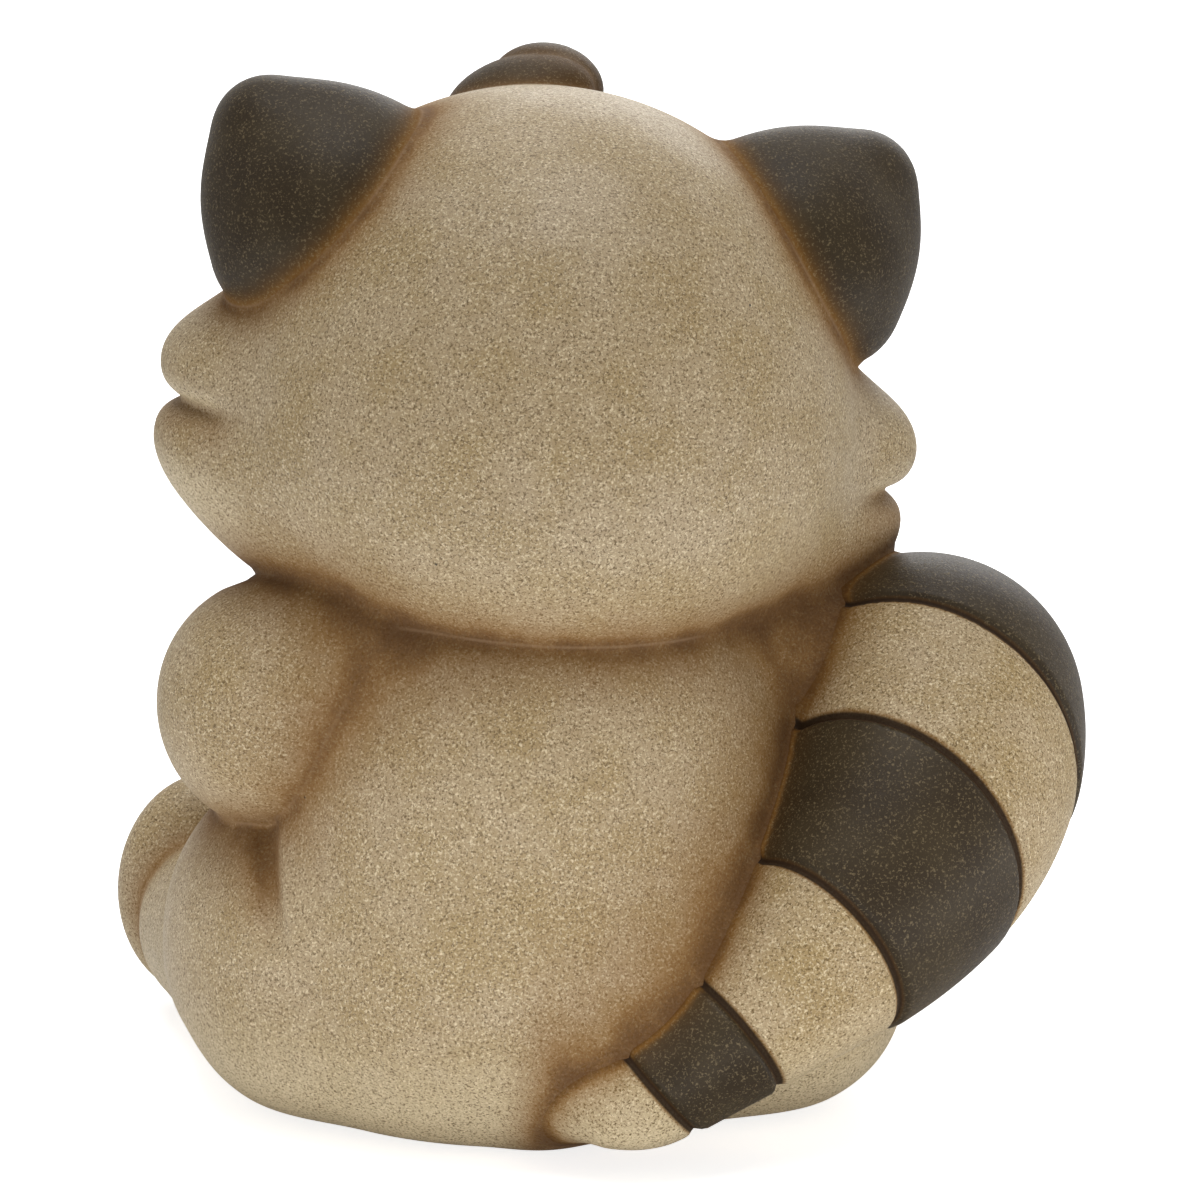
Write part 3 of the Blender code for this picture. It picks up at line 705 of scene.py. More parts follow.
class Figurine:
    """The whole raccoon as one blended field, and the names of its pieces in the order of their labels.

    A pair of fillets is what a seam has at its narrow end and what is added at its wide end.
    """

    names = (
        "head",
        "torso",
        "arm_left",
        "arm_right",
        "foot_left",
        "foot_right",
        "ear_left",
        "ear_right",
        "forelock",
        "forelock_small",
        "tail",
    )
    tail_label = len(names) - 1
    tail_box = ((-72.0, -22.0, -6.0), (22.0, 62.0, 78.0))
    foot_fillet = 2.0
    ear_fillet = 1.5
    forelock_fillet = 1.0
    neck_fillet = 1.3
    arm_fillets = (0.9, 3.6)
    arm_heights = (38.0, 50.0)
    root_fillets = (1.5, 6.0)
    root_span = (-12.0, 7.0)

    def __init__(self) -> None:
        """Take up every form at its own sizes."""
        self.head_frame = HeadFrame()
        self.head = HeadForm()
        self.ear = EarForm()
        self.forelock = ForelockForm()
        self.torso = TorsoForm()
        self.arm_left = ArmForm()
        self.arm_right = ArmForm(
            upper=Limb((17, 2.0, 56), (28.9, -0.5, 49.2), 12.5, 14.4),
            forearm=Limb((28.5, -6.5, 45), (18, -33, 35), 11.5, 8.0),
        )
        self.foot = FootForm()
        self.tail = TailForm()
        self.carved = True

    def tail_distance(self, points: Array) -> Array:
        """Distance to the tail, worked out only near it.

        Args:
            points: Rows of places in millimetres.

        Returns:
            One distance for each row, far away where the tail can't reach.
        """
        low, high = (np.array(corner, np.float32) for corner in self.tail_box)
        near = ((points > low) & (points < high)).all(1)
        found = np.full(len(points), FAR_AWAY, np.float32)
        if near.any():
            form = self.tail.distance if self.carved else self.tail.plain
            found[near] = form(points[near])
        return found

    def parts(self, points: Array) -> Array:
        """Distances to every piece.

        Args:
            points: Rows of places in millimetres.

        Returns:
            One row of distances for each name in names.
        """
        local = self.head_frame.local(points)
        folded = both_sides(points)
        foot = self.foot.distance(folded)
        ear = self.ear.distance(both_sides(local))
        rows = [self.head.distance(local), self.torso.distance(points)]
        for side, left, right in (
            (points[:, 0], self.arm_left.distance(folded), self.arm_right.distance(folded)),
            (points[:, 0], foot, foot),
            (local[:, 0], ear, ear),
        ):
            rows += [np.where(side >= 0, left, FAR_AWAY), np.where(side < 0, right, FAR_AWAY)]
        rows += [lock.distance(local) for lock in (self.forelock.lock, self.forelock.small_lock)]
        return np.stack([*rows, self.tail_distance(points)])

    def field(self, points: Array) -> Array:
        """Distance to the whole outer surface, with the pieces pressed together at their luted seams.

        Args:
            points: Rows of places in millimetres.

        Returns:
            One distance for each row, negative inside.
        """
        head, torso, *pairs, tail = self.parts(points)
        arms, feet, ears, locks = (np.minimum(*pair) for pair in zip(pairs[::2], pairs[1::2]))
        narrow, added = self.arm_fillets
        arm_reach = narrow + added * smooth_step(points[:, 2], *self.arm_heights)
        narrow, added = self.root_fillets
        root_reach = narrow + added * smooth_step(points[:, 0], *self.root_span)
        body = smooth_min(torso, arms, arm_reach)
        body = smooth_min(body, feet, self.foot_fillet)
        head = smooth_min(head, ears, self.ear_fillet)
        head = smooth_min(head, locks, self.forelock_fillet)
        return smooth_min(smooth_min(body, head, self.neck_fillet), tail, root_reach)


def slope_of(field: Field, points: Array, step: float = 0.1) -> tuple[Array, Array]:
    """A field's value and slope, from four points of a tetrahedron round each place.

    Args:
        field: The distance field.
        points: Rows of places in millimetres.
        step: The size of the tetrahedron.

    Returns:
        The field's values and the rows of its slope.
    """
    corners = np.array([(1, 1, 1), (1, -1, -1), (-1, 1, -1), (-1, -1, 1)], np.float32)
    values = np.zeros(len(points), np.float32)
    slope = np.zeros((len(points), 3), np.float32)
    for corner in corners:
        found = field(points + corner * step)
        values += found / 4
        slope += found[:, None] * corner / (4 * step)
    return values, slope


class Skin:
    """The closed surface of a distance field, with one vertex in each cell that the surface crosses."""

    block = 4
    near_factor = 1.25
    near_margin = 1.5
    smoothing_rounds = 2

    def __init__(self, field: Field, low: Triple, high: Triple, cell: float) -> None:
        """Draw the surface.

        Args:
            field: The distance field, in millimetres.
            low: The lowest corner of the space that holds it.
            high: The highest corner.
            cell: The width of a cell.
        """
        self.field = field
        self.cell = cell
        self.low = np.array(low, np.float32)
        blocks = np.ceil((np.array(high) - self.low) / (cell * self.block)).astype(int)
        self.counts = tuple(int(count) * self.block for count in blocks)
        values = self.sampled(blocks)
        self.points, self.quads = self.crossed(values)
        for _ in range(self.smoothing_rounds):
            self.relax()
            self.settle()

    def sampled(self, blocks: Array) -> Array:
        """The field on the grid, worked out only in blocks near the surface.

        Args:
            blocks: How many blocks the grid has along each axis.

        Returns:
            The values, as a three-way array.
        """
        spans = [np.arange(count) for count in blocks]
        corners = np.stack(np.meshgrid(*spans, indexing="ij"), -1).reshape(-1, 3)
        width = self.cell * self.block
        middles = (self.low + (corners + 0.5) * width).astype(np.float32)
        rough = self.field(middles)
        near = np.abs(rough) < width * math.sqrt(3) / 2 * self.near_factor + self.near_margin
        values = np.full(self.counts, FAR_AWAY, np.float32)
        as_blocks = values.reshape(blocks[0], self.block, blocks[1], self.block, blocks[2], self.block)
        inside = (rough < 0).reshape(tuple(blocks))
        as_blocks.transpose(0, 2, 4, 1, 3, 5)[inside] = -FAR_AWAY
        chosen = corners[near]
        offsets = np.stack(np.meshgrid(*[np.arange(self.block)] * 3, indexing="ij"), -1).reshape(-1, 3)
        places = (chosen[:, None] * self.block + offsets).reshape(-1, 3)
        found = self.field((self.low + places * self.cell).astype(np.float32))
        values[places[:, 0], places[:, 1], places[:, 2]] = found
        return values

    def crossed(self, values: Array) -> tuple[Array, Array]:
        """One vertex in each crossed cell, and one quad round each crossed edge of the grid.

        Args:
            values: The sampled field.

        Returns:
            Rows of places, and rows of four vertex numbers.
        """
        inside = values < 0
        corners = [(i, j, k) for i in (0, 1) for j in (0, 1) for k in (0, 1)]
        ends = [np.s_[i : i - 1 or None, j : j - 1 or None, k : k - 1 or None] for i, j, k in corners]
        total = sum(inside[end].astype(np.uint8) for end in ends)
        cells = np.argwhere((total > 0) & (total < 8))
        number = np.full(total.shape, -1, np.int32)
        number[tuple(cells.T)] = np.arange(len(cells))
        held = [values[tuple((cells + corner).T)] for corner in corners]
        summed = np.zeros((len(cells), 3), np.float32)
        count = np.zeros(len(cells), np.float32)
        for first in range(8):
            for second in range(first + 1, 8):
                way = np.array(corners[second]) - np.array(corners[first])
                if way.sum() != 1 or way.min() < 0:
                    continue
                crosses = (held[first] < 0) != (held[second] < 0)
                share = held[first][crosses] / (held[first][crosses] - held[second][crosses])
                summed[crosses] += np.array(corners[first]) + share[:, None] * way
                count[crosses] += 1
        points = self.low + (cells + summed / count[:, None]) * self.cell
        return points.astype(np.float32), self.woven(inside, number)

    def woven(self, inside: Array, number: Array) -> Array:
        """The quads between the numbered cells, turned to face outwards.

        Args:
            inside: Which points of the grid lie inside the field's surface.
            number: The vertex number of each cell, and -1 where it has none.

        Returns:
            Rows of four vertex numbers.
        """
        quads = []
        for axis in range(3):
            order = (axis, (axis + 1) % 3, (axis + 2) % 3)
            here = np.moveaxis(inside, order, (0, 1, 2))
            cells = np.moveaxis(number, order, (0, 1, 2))
            change = here[:-1, 1:-1, 1:-1] != here[1:, 1:-1, 1:-1]
            along, j, k = np.nonzero(change)
            around = ((0, 0), (1, 0), (1, 1), (0, 1))
            rows = np.stack([cells[along, j + right, k + up] for right, up in around], 1)
            outward = here[along, j + 1, k + 1]
            rows[~outward] = rows[~outward][:, ::-1]
            quads.append(rows)
        return np.concatenate(quads)

    def relax(self) -> None:
        """Draw each vertex half way to the middle of its neighbours."""
        starts = self.quads.ravel()
        ends = np.roll(self.quads, -1, 1).ravel()
        size = len(self.points)
        count = np.bincount(starts, minlength=size) + np.bincount(ends, minlength=size)
        middle = np.empty_like(self.points)
        for axis in range(3):
            line = self.points[:, axis]
            total = np.bincount(starts, line[ends], size) + np.bincount(ends, line[starts], size)
            middle[:, axis] = total / np.maximum(count, 1)
        self.points += (middle - self.points) / 2

    def settle(self) -> None:
        """Put each vertex back on the true surface."""
        values, slope = slope_of(self.field, self.points)
        length = np.maximum(squared(slope), LEAST_SLOPE)
        move = np.clip(values / length, -self.cell, self.cell)
        self.points -= move[:, None] * slope


class Hide:
    """The figurine's whole skin, parted into labelled pieces along smooth seams."""

    space = ((-68.0, -54.0, -3.0), (50.0, 52.0, 126.0))
    wall = 2.0
    no_label = 99
    seam_rounds = 5
    seam_travel = 0.8
    least_seam_slope = 0.05

    def __init__(self, figurine: Figurine, cell: float) -> None:
        """Skin the figurine and part it.

        Args:
            figurine: The blended forms.
            cell: The width of a skin cell, in millimetres.
        """
        self.figurine = figurine
        self.skin = Skin(figurine.field, *self.space, cell)
        self.labels = self.face_labels()
        self.draw_seams()
        figurine.carved = False
        _, slope = slope_of(figurine.field, self.skin.points)
        figurine.carved = True
        self.normals = unit(slope)
        self.parts = figurine.parts(self.skin.points)

    def face_labels(self) -> Array:
        """The piece that each face belongs to, with every band of the tail counted apart.

        Returns:
            One label for each face: a place in the figurine's names, or higher on the tail.
        """
        middles = self.skin.points[self.skin.quads].mean(1)
        nearest = self.figurine.parts(middles).argmin(0)
        _, band = self.figurine.tail.band(middles)
        return np.where(nearest == self.figurine.tail_label, nearest + band, nearest)

    def seam_gap(self, points: Array, first: Array, second: Array) -> Array:
        """How far each point lies from the seam between two labels.

        Args:
            points: Rows of places in millimetres.
            first: The lower label of each point's seam.
            second: The higher label.

        Returns:
            Signed distances, positive on the second label's side.
        """
        last = self.figurine.tail_label
        parts = self.figurine.parts(points)
        rows = np.arange(len(points))
        gap = parts[np.minimum(first, last), rows] - parts[np.minimum(second, last), rows]
        for number, (centre, normal) in enumerate(self.figurine.tail.ring_planes()):
            on_ring = (first == last + number) & (second == last + number + 1)
            gap[on_ring] = (points[on_ring] - centre) @ normal
        return gap

    def draw_seams(self) -> None:
        """Move the vertices between two labels on to the true seam line."""
        size = len(self.skin.points)
        lowest = np.full(size, self.no_label)
        highest = np.full(size, -1)
        for corner in range(4):
            np.minimum.at(lowest, self.skin.quads[:, corner], self.labels)
            np.maximum.at(highest, self.skin.quads[:, corner], self.labels)
        chosen = np.nonzero(lowest != highest)[0]
        first, second = lowest[chosen], highest[chosen]
        places = self.skin.points[chosen].copy()
        start = places.copy()
        limit = self.skin.cell * self.seam_travel
        for _ in range(self.seam_rounds):
            values, slope = slope_of(self.figurine.field, places)
            places -= (values / np.maximum(squared(slope), LEAST_SLOPE))[:, None] * slope
            level = unit(slope)
            gap, way = slope_of(lambda spots: self.seam_gap(spots, first, second), places)
            way -= (way * level).sum(1)[:, None] * level
            places -= (gap / np.maximum(squared(way), self.least_seam_slope))[:, None] * way
            moved = places - start
            far = np.maximum(np.sqrt(squared(moved)), TINY)
            places = start + moved * np.minimum(1.0, limit / far)[:, None]
        self.skin.points[chosen] = places

    def masks(self) -> dict[str, Array]:
        """The painted masks of every vertex, by attribute name."""
        return Paintwork(self.figurine, self.skin.points, self.parts, self.normals).attributes()

    def piece(self, name: str, masks: dict[str, Array]) -> bpy.types.Object:
        """One labelled piece as a closed shell with a wall.

        Args:
            name: The node that the piece stands for.
            masks: The painted masks of the whole skin.

        Returns:
            The new object.
        """
        label = self.figurine.names.index(name)
        on_tail = label == self.figurine.tail_label
        quads = self.skin.quads[self.labels >= label if on_tail else self.labels == label]
        used, flat = np.unique(quads, return_inverse=True)
        quads = flat.reshape(-1, 4)
        outer = self.skin.points[used]
        normals = self.normals[used]
        inner = outer - normals * self.wall
        size = len(outer)
        starts, ends = quads.ravel(), np.roll(quads, -1, 1).ravel()
        keys = starts.astype(np.int64) * size + ends
        open_edge = ~np.isin(keys, ends.astype(np.int64) * size + starts)
        rim = np.stack([ends, starts, starts + size, ends + size], 1)[open_edge]
        faces = np.concatenate([quads, quads[:, ::-1] + size, rim])
        corner_normals = np.zeros((len(faces), 4, 3), np.float32)
        corner_normals[: len(quads)] = normals[quads]
        corner_normals[len(quads) : 2 * len(quads)] = -normals[quads[:, ::-1]]
        mesh = quad_mesh(Make.name_of(name), np.concatenate([outer, inner]) * MILLIMETRE, faces)
        mesh.normals_split_custom_set(corner_normals.reshape(-1, 3).tolist())
        for mask, values in masks.items():
            set_mask(mesh, mask, np.tile(values[used], 2))
        return linked(mesh)


class Paintwork:
    """Where the sprayed slips, stains and luting lines lie on the skin, and where light from below is
    painted on.

    A crease has a width in millimetres and a strength from 0 to 1, on the first kind of piece beside the
    second. Edges, spans and heights are limits in millimetres between which a mask rises.
    """

    crease_widths = {
        ("head", "torso"): (4.4, 0.96),
        ("torso", "head"): (4.4, 0.96),
        ("head", "arm"): (5.0, 1.0),
        ("arm", "head"): (5.0, 1.0),
        ("torso", "arm"): (5.2, 0.88),
        ("arm", "torso"): (4.8, 0.84),
        ("torso", "tail"): (9.0, 1.0),
        ("arm", "tail"): (7.0, 1.0),
        ("head", "tail"): (3.4, 1.0),
        ("tail", "torso"): (2.6, 1.0),
        ("tail", "arm"): (2.6, 1.0),
        ("tail", "head"): (1.9, 1.0),
        ("head", "ear"): (3.0, 1.0),
        ("ear", "head"): (1.3, 0.85),
        ("head", "forelock"): (1.4, 0.45),
        ("forelock", "head"): (1.4, 0.45),
        ("forelock", "forelock"): (1.4, 0.3),
    }
    plain_crease = (2.4, 0.72)
    falloff = 1.35
    head_label = 0
    smooth_shoulder = -7.0
    band_fade = 0.75
    band_lip = (-0.3, 0.4)
    band_depth = (0.3, 1.3)
    root_fade = 0.95
    root_span = (3.0, 10.0)
    under_tail_across = (14.0, 24.0)
    under_tail_heights = (18.0, 32.0)
    shoulder_span = (-12.0, -2.0)
    thigh_strength = 0.94
    thigh_widths = (0.9, 2.7)
    thigh_edge = (-0.4, 0.9)
    thigh_heights = (23.5, 33.0)
    cheek_strength = 0.5
    cheek_widths = (0.5, 1.9)
    mouth_stain = (0.7, 0.85)
    groove_stain = (0.8, 0.7)
    dark_edges = {"ear": (-0.9, 1.5), "forelock": (-2.5, 1.4)}
    eye_patch = Lump((14.5, -26.0, 2.8), (10.5, 16.0, 6.6), "y", 24.0)
    muzzle_patch = Lump((0, -33.0, -9.5), (15.5, 14.0, 10.5))
    brow_patch = Lump((12.5, -26.0, 10.6), (9.5, 14.0, 3.2), "y", 18.0)
    belly_patch = Lump((0, -30.0, 33.0), (15.0, 12.0, 21.0))
    cup_strength = 0.8
    # Painted light from below: how much lighter the lower cheek lobes and the downward-facing surfaces are
    # painted.
    cheek_painted_light = 0.7
    underside_painted_light = 0.25

    def __init__(self, figurine: Figurine, points: Array, parts: Array, normals: Array) -> None:
        """Take up the skin's vertices.

        Args:
            figurine: The blended forms.
            points: Rows of places in millimetres.
            parts: The distance to every piece at each place.
            normals: The skin's unit normals.
        """
        self.figurine = figurine
        self.points = points
        self.parts = parts
        self.normals = normals
        self.local = figurine.head_frame.local(points)
        self.nearest = parts.argmin(0)

    def named(self, name: str) -> Array:
        """Which vertices belong to one piece."""
        return self.nearest == self.figurine.names.index(name)

    def seam(self) -> Array:
        """Distance to the nearest luting line. The tail's seam and the smoothed right shoulder show none.

        Returns:
            Millimetres for each vertex.
        """
        pair = np.argsort(self.parts, axis=0)[:2]
        first, second = np.take_along_axis(self.parts, pair, axis=0)
        tail, torso, shoulder = map(self.figurine.names.index, ("tail", "torso", "arm_right"))
        smoothed = (pair == torso).any(0) & (pair == shoulder).any(0)
        smoothed &= self.points[:, 1] > self.smooth_shoulder
        return np.where(smoothed | (pair == tail).any(0), FAR_AWAY, second - first)

    def seam_fades(self) -> dict[tuple[str, str], Array]:
        """How fully a seam is stained along its way, where it isn't stained alike all along.

        Returns:
            Shares from 0 to 1 for each vertex, by the stained piece and its neighbour.
        """
        across, along, lift = self.points.T
        first, second = np.sort(self.parts, axis=0)[:2]
        dark_band = smooth_step(self.figurine.tail.band(self.points)[0], *self.band_lip)
        dark_band *= smooth_step(second - first, *self.band_depth)
        on_light = 1 - self.band_fade * dark_band
        root = 1 - self.root_fade * smooth_step(across, *self.root_span)
        under_tail = smooth_step(-across, *self.under_tail_across)
        under_tail = under_tail * (1 - smooth_step(lift, *self.under_tail_heights))
        shoulder = 1 - smooth_step(along, *self.shoulder_span)
        return {
            ("torso", "tail"): root * (1 - under_tail),
            ("tail", "torso"): root * on_light,
            ("tail", "arm_right"): on_light,
            ("tail", "head"): on_light,
            ("torso", "arm_right"): shoulder,
            ("arm_right", "torso"): shoulder,
        }

    def stain_seams(self, clear: Array) -> None:
        """Darken both sides of every seam.

        Args:
            clear: How free of stain each vertex is so far, from 0 to 1. It is changed in place.
        """
        whole = np.ones_like(clear)
        fades = self.seam_fades()
        for own, own_name in enumerate(self.figurine.names):
            rows = self.nearest == own
            for other, other_name in enumerate(self.figurine.names):
                if other == own:
                    continue
                fade = fades.get((own_name, other_name), whole)
                kinds = (kind_of(own_name), kind_of(other_name))
                width, strength = self.crease_widths.get(kinds, self.plain_crease)
                gap = np.maximum(self.parts[other][rows] - self.parts[own][rows], 0)
                clear[rows] *= 1 - strength * fade[rows] * bell(gap, width, self.falloff)

    def stain_folds(self, clear: Array) -> None:
        """Darken the fold behind each thigh and the crease between the lobes of each cheek.

        Args:
            clear: How free of stain each vertex is so far, from 0 to 1. It is changed in place.
        """
        fold = self.figurine.torso.thigh_fold
        folded = both_sides(self.points)
        thigh = np.maximum(fold.distance(folded), 0)
        narrow, added = self.thigh_widths
        width = narrow + added * smooth_step(folded[:, 0] - fold.start[0], *self.thigh_edge)
        lasting = smooth_step(self.points[:, 2], *self.thigh_heights) * self.named("torso")
        clear *= 1 - self.thigh_strength * lasting * bell(thigh, width, self.falloff)
        gap, shown = self.figurine.head.cheek_fold(self.figurine.head.ruffed(self.local))
        above, below = self.cheek_widths
        spread = np.where(gap > 0, below, above)
        clear *= 1 - self.cheek_strength * self.named("head") * shown * bell(gap, spread)

    def stain_carvings(self, clear: Array) -> None:
        """Darken the carved lines of the mouth and the grooves between the toes.

        Args:
            clear: How free of stain each vertex is so far, from 0 to 1. It is changed in place.
        """
        width, strength = self.mouth_stain
        folded = both_sides(self.local)
        for line in self.figurine.head.mouth():
            clear *= 1 - strength * self.named("head") * bell(np.maximum(line.distance(folded), 0), width)
        width, strength = self.groove_stain
        folded = both_sides(self.points)
        for line in self.figurine.foot.grooves():
            clear *= 1 - strength * bell(np.maximum(line.distance(folded), 0), width)

    def stain(self) -> Array:
        """How much rust-brown stain was sprayed into the creases.

        Returns:
            Shares from 0 to 1 for each vertex.
        """
        clear = np.ones(len(self.points), np.float32)
        self.stain_seams(clear)
        self.stain_folds(clear)
        self.stain_carvings(clear)
        return 1 - clear

    def dark(self) -> Array:
        """How far the dark slip covers the ears, the forelock and the patches round the eyes.

        Returns:
            Shares from 0 to 1 for each vertex.
        """
        cover = np.zeros(len(self.points), np.float32)
        for label, name in enumerate(self.figurine.names):
            if kind_of(name) in self.dark_edges:
                rows = self.nearest == label
                edge = self.dark_edges[kind_of(name)]
                cover[rows] = smooth_step(self.parts[self.head_label][rows], *edge)
        patch = 1 - smooth_step(self.eye_patch.distance(both_sides(self.local)), -0.9, 0.5)
        ahead = smooth_step(-self.local[:, 1], 12.0, 17.0)
        return np.maximum(cover, patch * ahead * self.named("head"))

    def pale(self) -> Array:
        """Where the lighter cream slip lies, round the muzzle, over the brows and on the belly, and where
        light from below is painted on.

        Returns:
            Shares from 0 to 1 for each vertex.
        """
        folded = both_sides(self.local)
        ahead = smooth_step(-self.local[:, 1], 14.0, 22.0)
        muzzle = 1 - smooth_step(self.muzzle_patch.distance(folded), -2.0, 2.5)
        brow = 1 - smooth_step(self.brow_patch.distance(folded), -1.2, 1.4)
        belly = 1 - smooth_step(self.belly_patch.distance(self.points), -3.0, 3.0)
        cups = smooth_step(-self.figurine.ear.cup.distance(folded), -1.2, 0.4)
        cups = cups * (self.named("ear_left") | self.named("ear_right")) * self.cup_strength
        face = np.maximum(muzzle, brow) * ahead * self.named("head")
        # The painted light from below is added here to the cream patches.
        return np.clip(face + belly * self.named("torso") + cups + self.painted_light_from_below(), 0, 1)

    def painted_light_from_below(self) -> Array:
        """Painted light from below: lighter colour round the foot of the seat, under the cheeks and on
        surfaces that face down.

        Returns:
            Shares from 0 to 1 for each vertex.
        """
        # Painted light: lighter towards the base and on surfaces that face down, as if lit from the floor.
        downward = -self.normals[:, 2]
        low = 1 - smooth_step(self.points[:, 2], -1.0, 21.0)
        lobe = self.figurine.head.lower_lobe.distance(self.figurine.head.ruffed(self.local))
        cheek = (1 - smooth_step(lobe, 0.0, 5.0)) * self.named("head") * self.cheek_painted_light
        under = smooth_step(downward, 0.0, 0.6) * (self.points[:, 2] < 100)
        cheek = cheek * smooth_step(downward, -0.3, 0.5)
        return np.clip(np.maximum(low, cheek) + self.underside_painted_light * under, 0, 1)

    def attributes(self) -> dict[str, Array]:
        """Every mask by its attribute name.

        Returns:
            One value for each vertex: gaps in millimetres, and shares from 0 to 1.
        """
        return {
            "seam": self.seam(),
            "stain": self.stain(),
            "dark": self.dark(),
            "pale": self.pale(),
            "ring": self.figurine.tail.band(self.points)[0],
        }


def quad_mesh(name: str, points: Array, faces: Array) -> bpy.types.Mesh:
    """A smooth mesh of quads.

    Args:
        name: The mesh's name.
        points: Rows of places in metres.
        faces: Rows of four vertex numbers.

    Returns:
        The new mesh.
    """
    mesh = bpy.data.meshes.new(name)
    mesh.vertices.add(len(points))
    mesh.vertices.foreach_set("co", points.astype(np.float32).ravel())
    mesh.loops.add(faces.size)
    mesh.loops.foreach_set("vertex_index", faces.astype(np.int32).ravel())
    mesh.polygons.add(len(faces))
    mesh.polygons.foreach_set("loop_start", np.arange(0, faces.size, 4, dtype=np.int32))
    mesh.update(calc_edges=True)
    mesh.validate()
    mesh.shade_smooth()
    return mesh


def set_mask(mesh: bpy.types.Mesh, name: str, values: Array) -> None:
    """Give the mesh's vertices one value each, as a named attribute."""
    layer = mesh.attributes.new(name, "FLOAT", "POINT")
    layer.data.foreach_set("value", values.astype(np.float32))


def linked(mesh: bpy.types.Mesh) -> bpy.types.Object:
    """An object that holds the mesh and has its name, in the scene."""
    item = bpy.data.objects.new(mesh.name, mesh)
    bpy.context.scene.collection.objects.link(item)
    return item


def linear(colour: Triple) -> tuple[float, float, float, float]:
    """A display colour, given from 0 to 255, as Blender's linear colour.

    Args:
        colour: Red, green and blue from 0 to 255.

    Returns:
        Linear red, green, blue and a full alpha.
    """
    shares = [value / 255 for value in colour]
    curved = [share / 12.92 if share <= 0.04045 else ((share + 0.055) / 1.055) ** 2.4 for share in shares]
    return (*curved, 1.0)


class Sheet:
    """A node tree that is filled node by node."""

    def __init__(self, tree: bpy.types.NodeTree) -> None:
        """Take up a tree."""
        self.tree = tree

    def fill(self, node: bpy.types.Node, inputs: dict) -> None:
        """Give a node its inputs.

        Args:
            node: The node.
            inputs: Values for its inputs or sockets to link them to, by name or number.
        """
        for key, value in inputs.items():
            if isinstance(value, Socket):
                self.tree.links.new(value, node.inputs[key])
            else:
                node.inputs[key].default_value = value

    def add(self, kind: str, inputs: dict | None = None, **settings: object) -> bpy.types.Node:
        """Add a node.

        Args:
            kind: The node's type.
            inputs: Values or sockets for its inputs, by name or number.
            settings: The node's own properties.

        Returns:
            The node.
        """
        node = self.tree.nodes.new(kind)
        for key, value in settings.items():
            setattr(node, key, value)
        self.fill(node, inputs or {})
        return node

    def group(self, tree: bpy.types.NodeTree, inputs: dict) -> dict[str, Socket]:
        """Place a shared group and give its outputs by name."""
        return dict(self.add("ShaderNodeGroup", inputs, node_tree=tree).outputs.items())

    def math(self, operation: str, *values: object) -> Socket:
        """The result of a Math node on up to three values or sockets."""
        return self.add("ShaderNodeMath", dict(enumerate(values)), operation=operation).outputs[0]

    def times(self, first: object, second: object) -> Socket:
        """Two values or sockets multiplied."""
        return self.math("MULTIPLY", first, second)

    def attribute(self, name: str) -> Socket:
        """A mask that the piece carries."""
        return self.add("ShaderNodeAttribute", attribute_name=name).outputs["Fac"]

    def place(self) -> Socket:
        """Object coordinates in millimetres."""
        inputs = {"Vector": self.add("ShaderNodeTexCoord").outputs["Object"], "Scale": (1 / MILLIMETRE,) * 3}
        return self.add("ShaderNodeMapping", inputs).outputs["Vector"]

    def ramp(self, value: object, low: float, high: float, start: float = 0.0, end: float = 1.0) -> Socket:
        """A smooth rise of a value between two limits.

        Args:
            value: The socket that is compared.
            low: Where the rise begins.
            high: Where it ends.
            start: The result at the low limit.
            end: The result at the high limit.

        Returns:
            The result's socket.
        """
        inputs = {"Value": value, "From Min": low, "From Max": high, "To Min": start, "To Max": end}
        node = self.add("ShaderNodeMapRange", inputs, interpolation_type="SMOOTHSTEP", clamp=True)
        return node.outputs["Result"]

    def mix(self, share: object, first: object, second: object) -> Socket:
        """Two colours or sockets mixed by the second's share."""
        return self.add("ShaderNodeMix", {0: share, 6: first, 7: second}, data_type="RGBA").outputs[2]

    def noise(
        self, vector: object, scale: float, detail: float = 2.0, rough: float = 0.5, bend: float = 0.0
    ) -> Socket:
        """A noise texture's value.

        Args:
            vector: Where it is read.
            scale: Waves for each unit.
            detail: How many finer layers it has.
            rough: How strong the finer layers are.
            bend: How far it is distorted.

        Returns:
            The value's socket.
        """
        inputs = {"Vector": vector, "Scale": scale, "Detail": detail, "Roughness": rough, "Distortion": bend}
        return self.add("ShaderNodeTexNoise", inputs).outputs["Fac"]


def new_material(name: str) -> tuple[bpy.types.Material, Sheet, bpy.types.Node]:
    """Make a material.

    Args:
        name: Its name.

    Returns:
        The material, its sheet and its shader node.
    """
    material = bpy.data.materials.new(name)
    material.use_nodes = True
    return material, Sheet(material.node_tree), material.node_tree.nodes["Principled BSDF"]


def shader_group(
    name: str, takes: dict[str, float | None], gives: tuple[str, ...]
) -> tuple[Sheet, object, bpy.types.Node]:
    """An empty shader node group.

    Args:
        name: The group's name.
        takes: Its inputs, by name, with their first values: None for a vector.
        gives: The names of its outputs, which are all plain values.

    Returns:
        The group's sheet, its input node's outputs and its output node.
    """
    tree = bpy.data.node_groups.new(name, "ShaderNodeTree")
    for key, value in takes.items():
        kind = "NodeSocketVector" if value is None else "NodeSocketFloat"
        socket = tree.interface.new_socket(key, in_out="INPUT", socket_type=kind)
        if value is not None:
            socket.default_value = value
    for key in gives:
        tree.interface.new_socket(key, in_out="OUTPUT", socket_type="NodeSocketFloat")
    sheet = Sheet(tree)
    return sheet, sheet.add("NodeGroupInput").outputs, sheet.add("NodeGroupOutput")


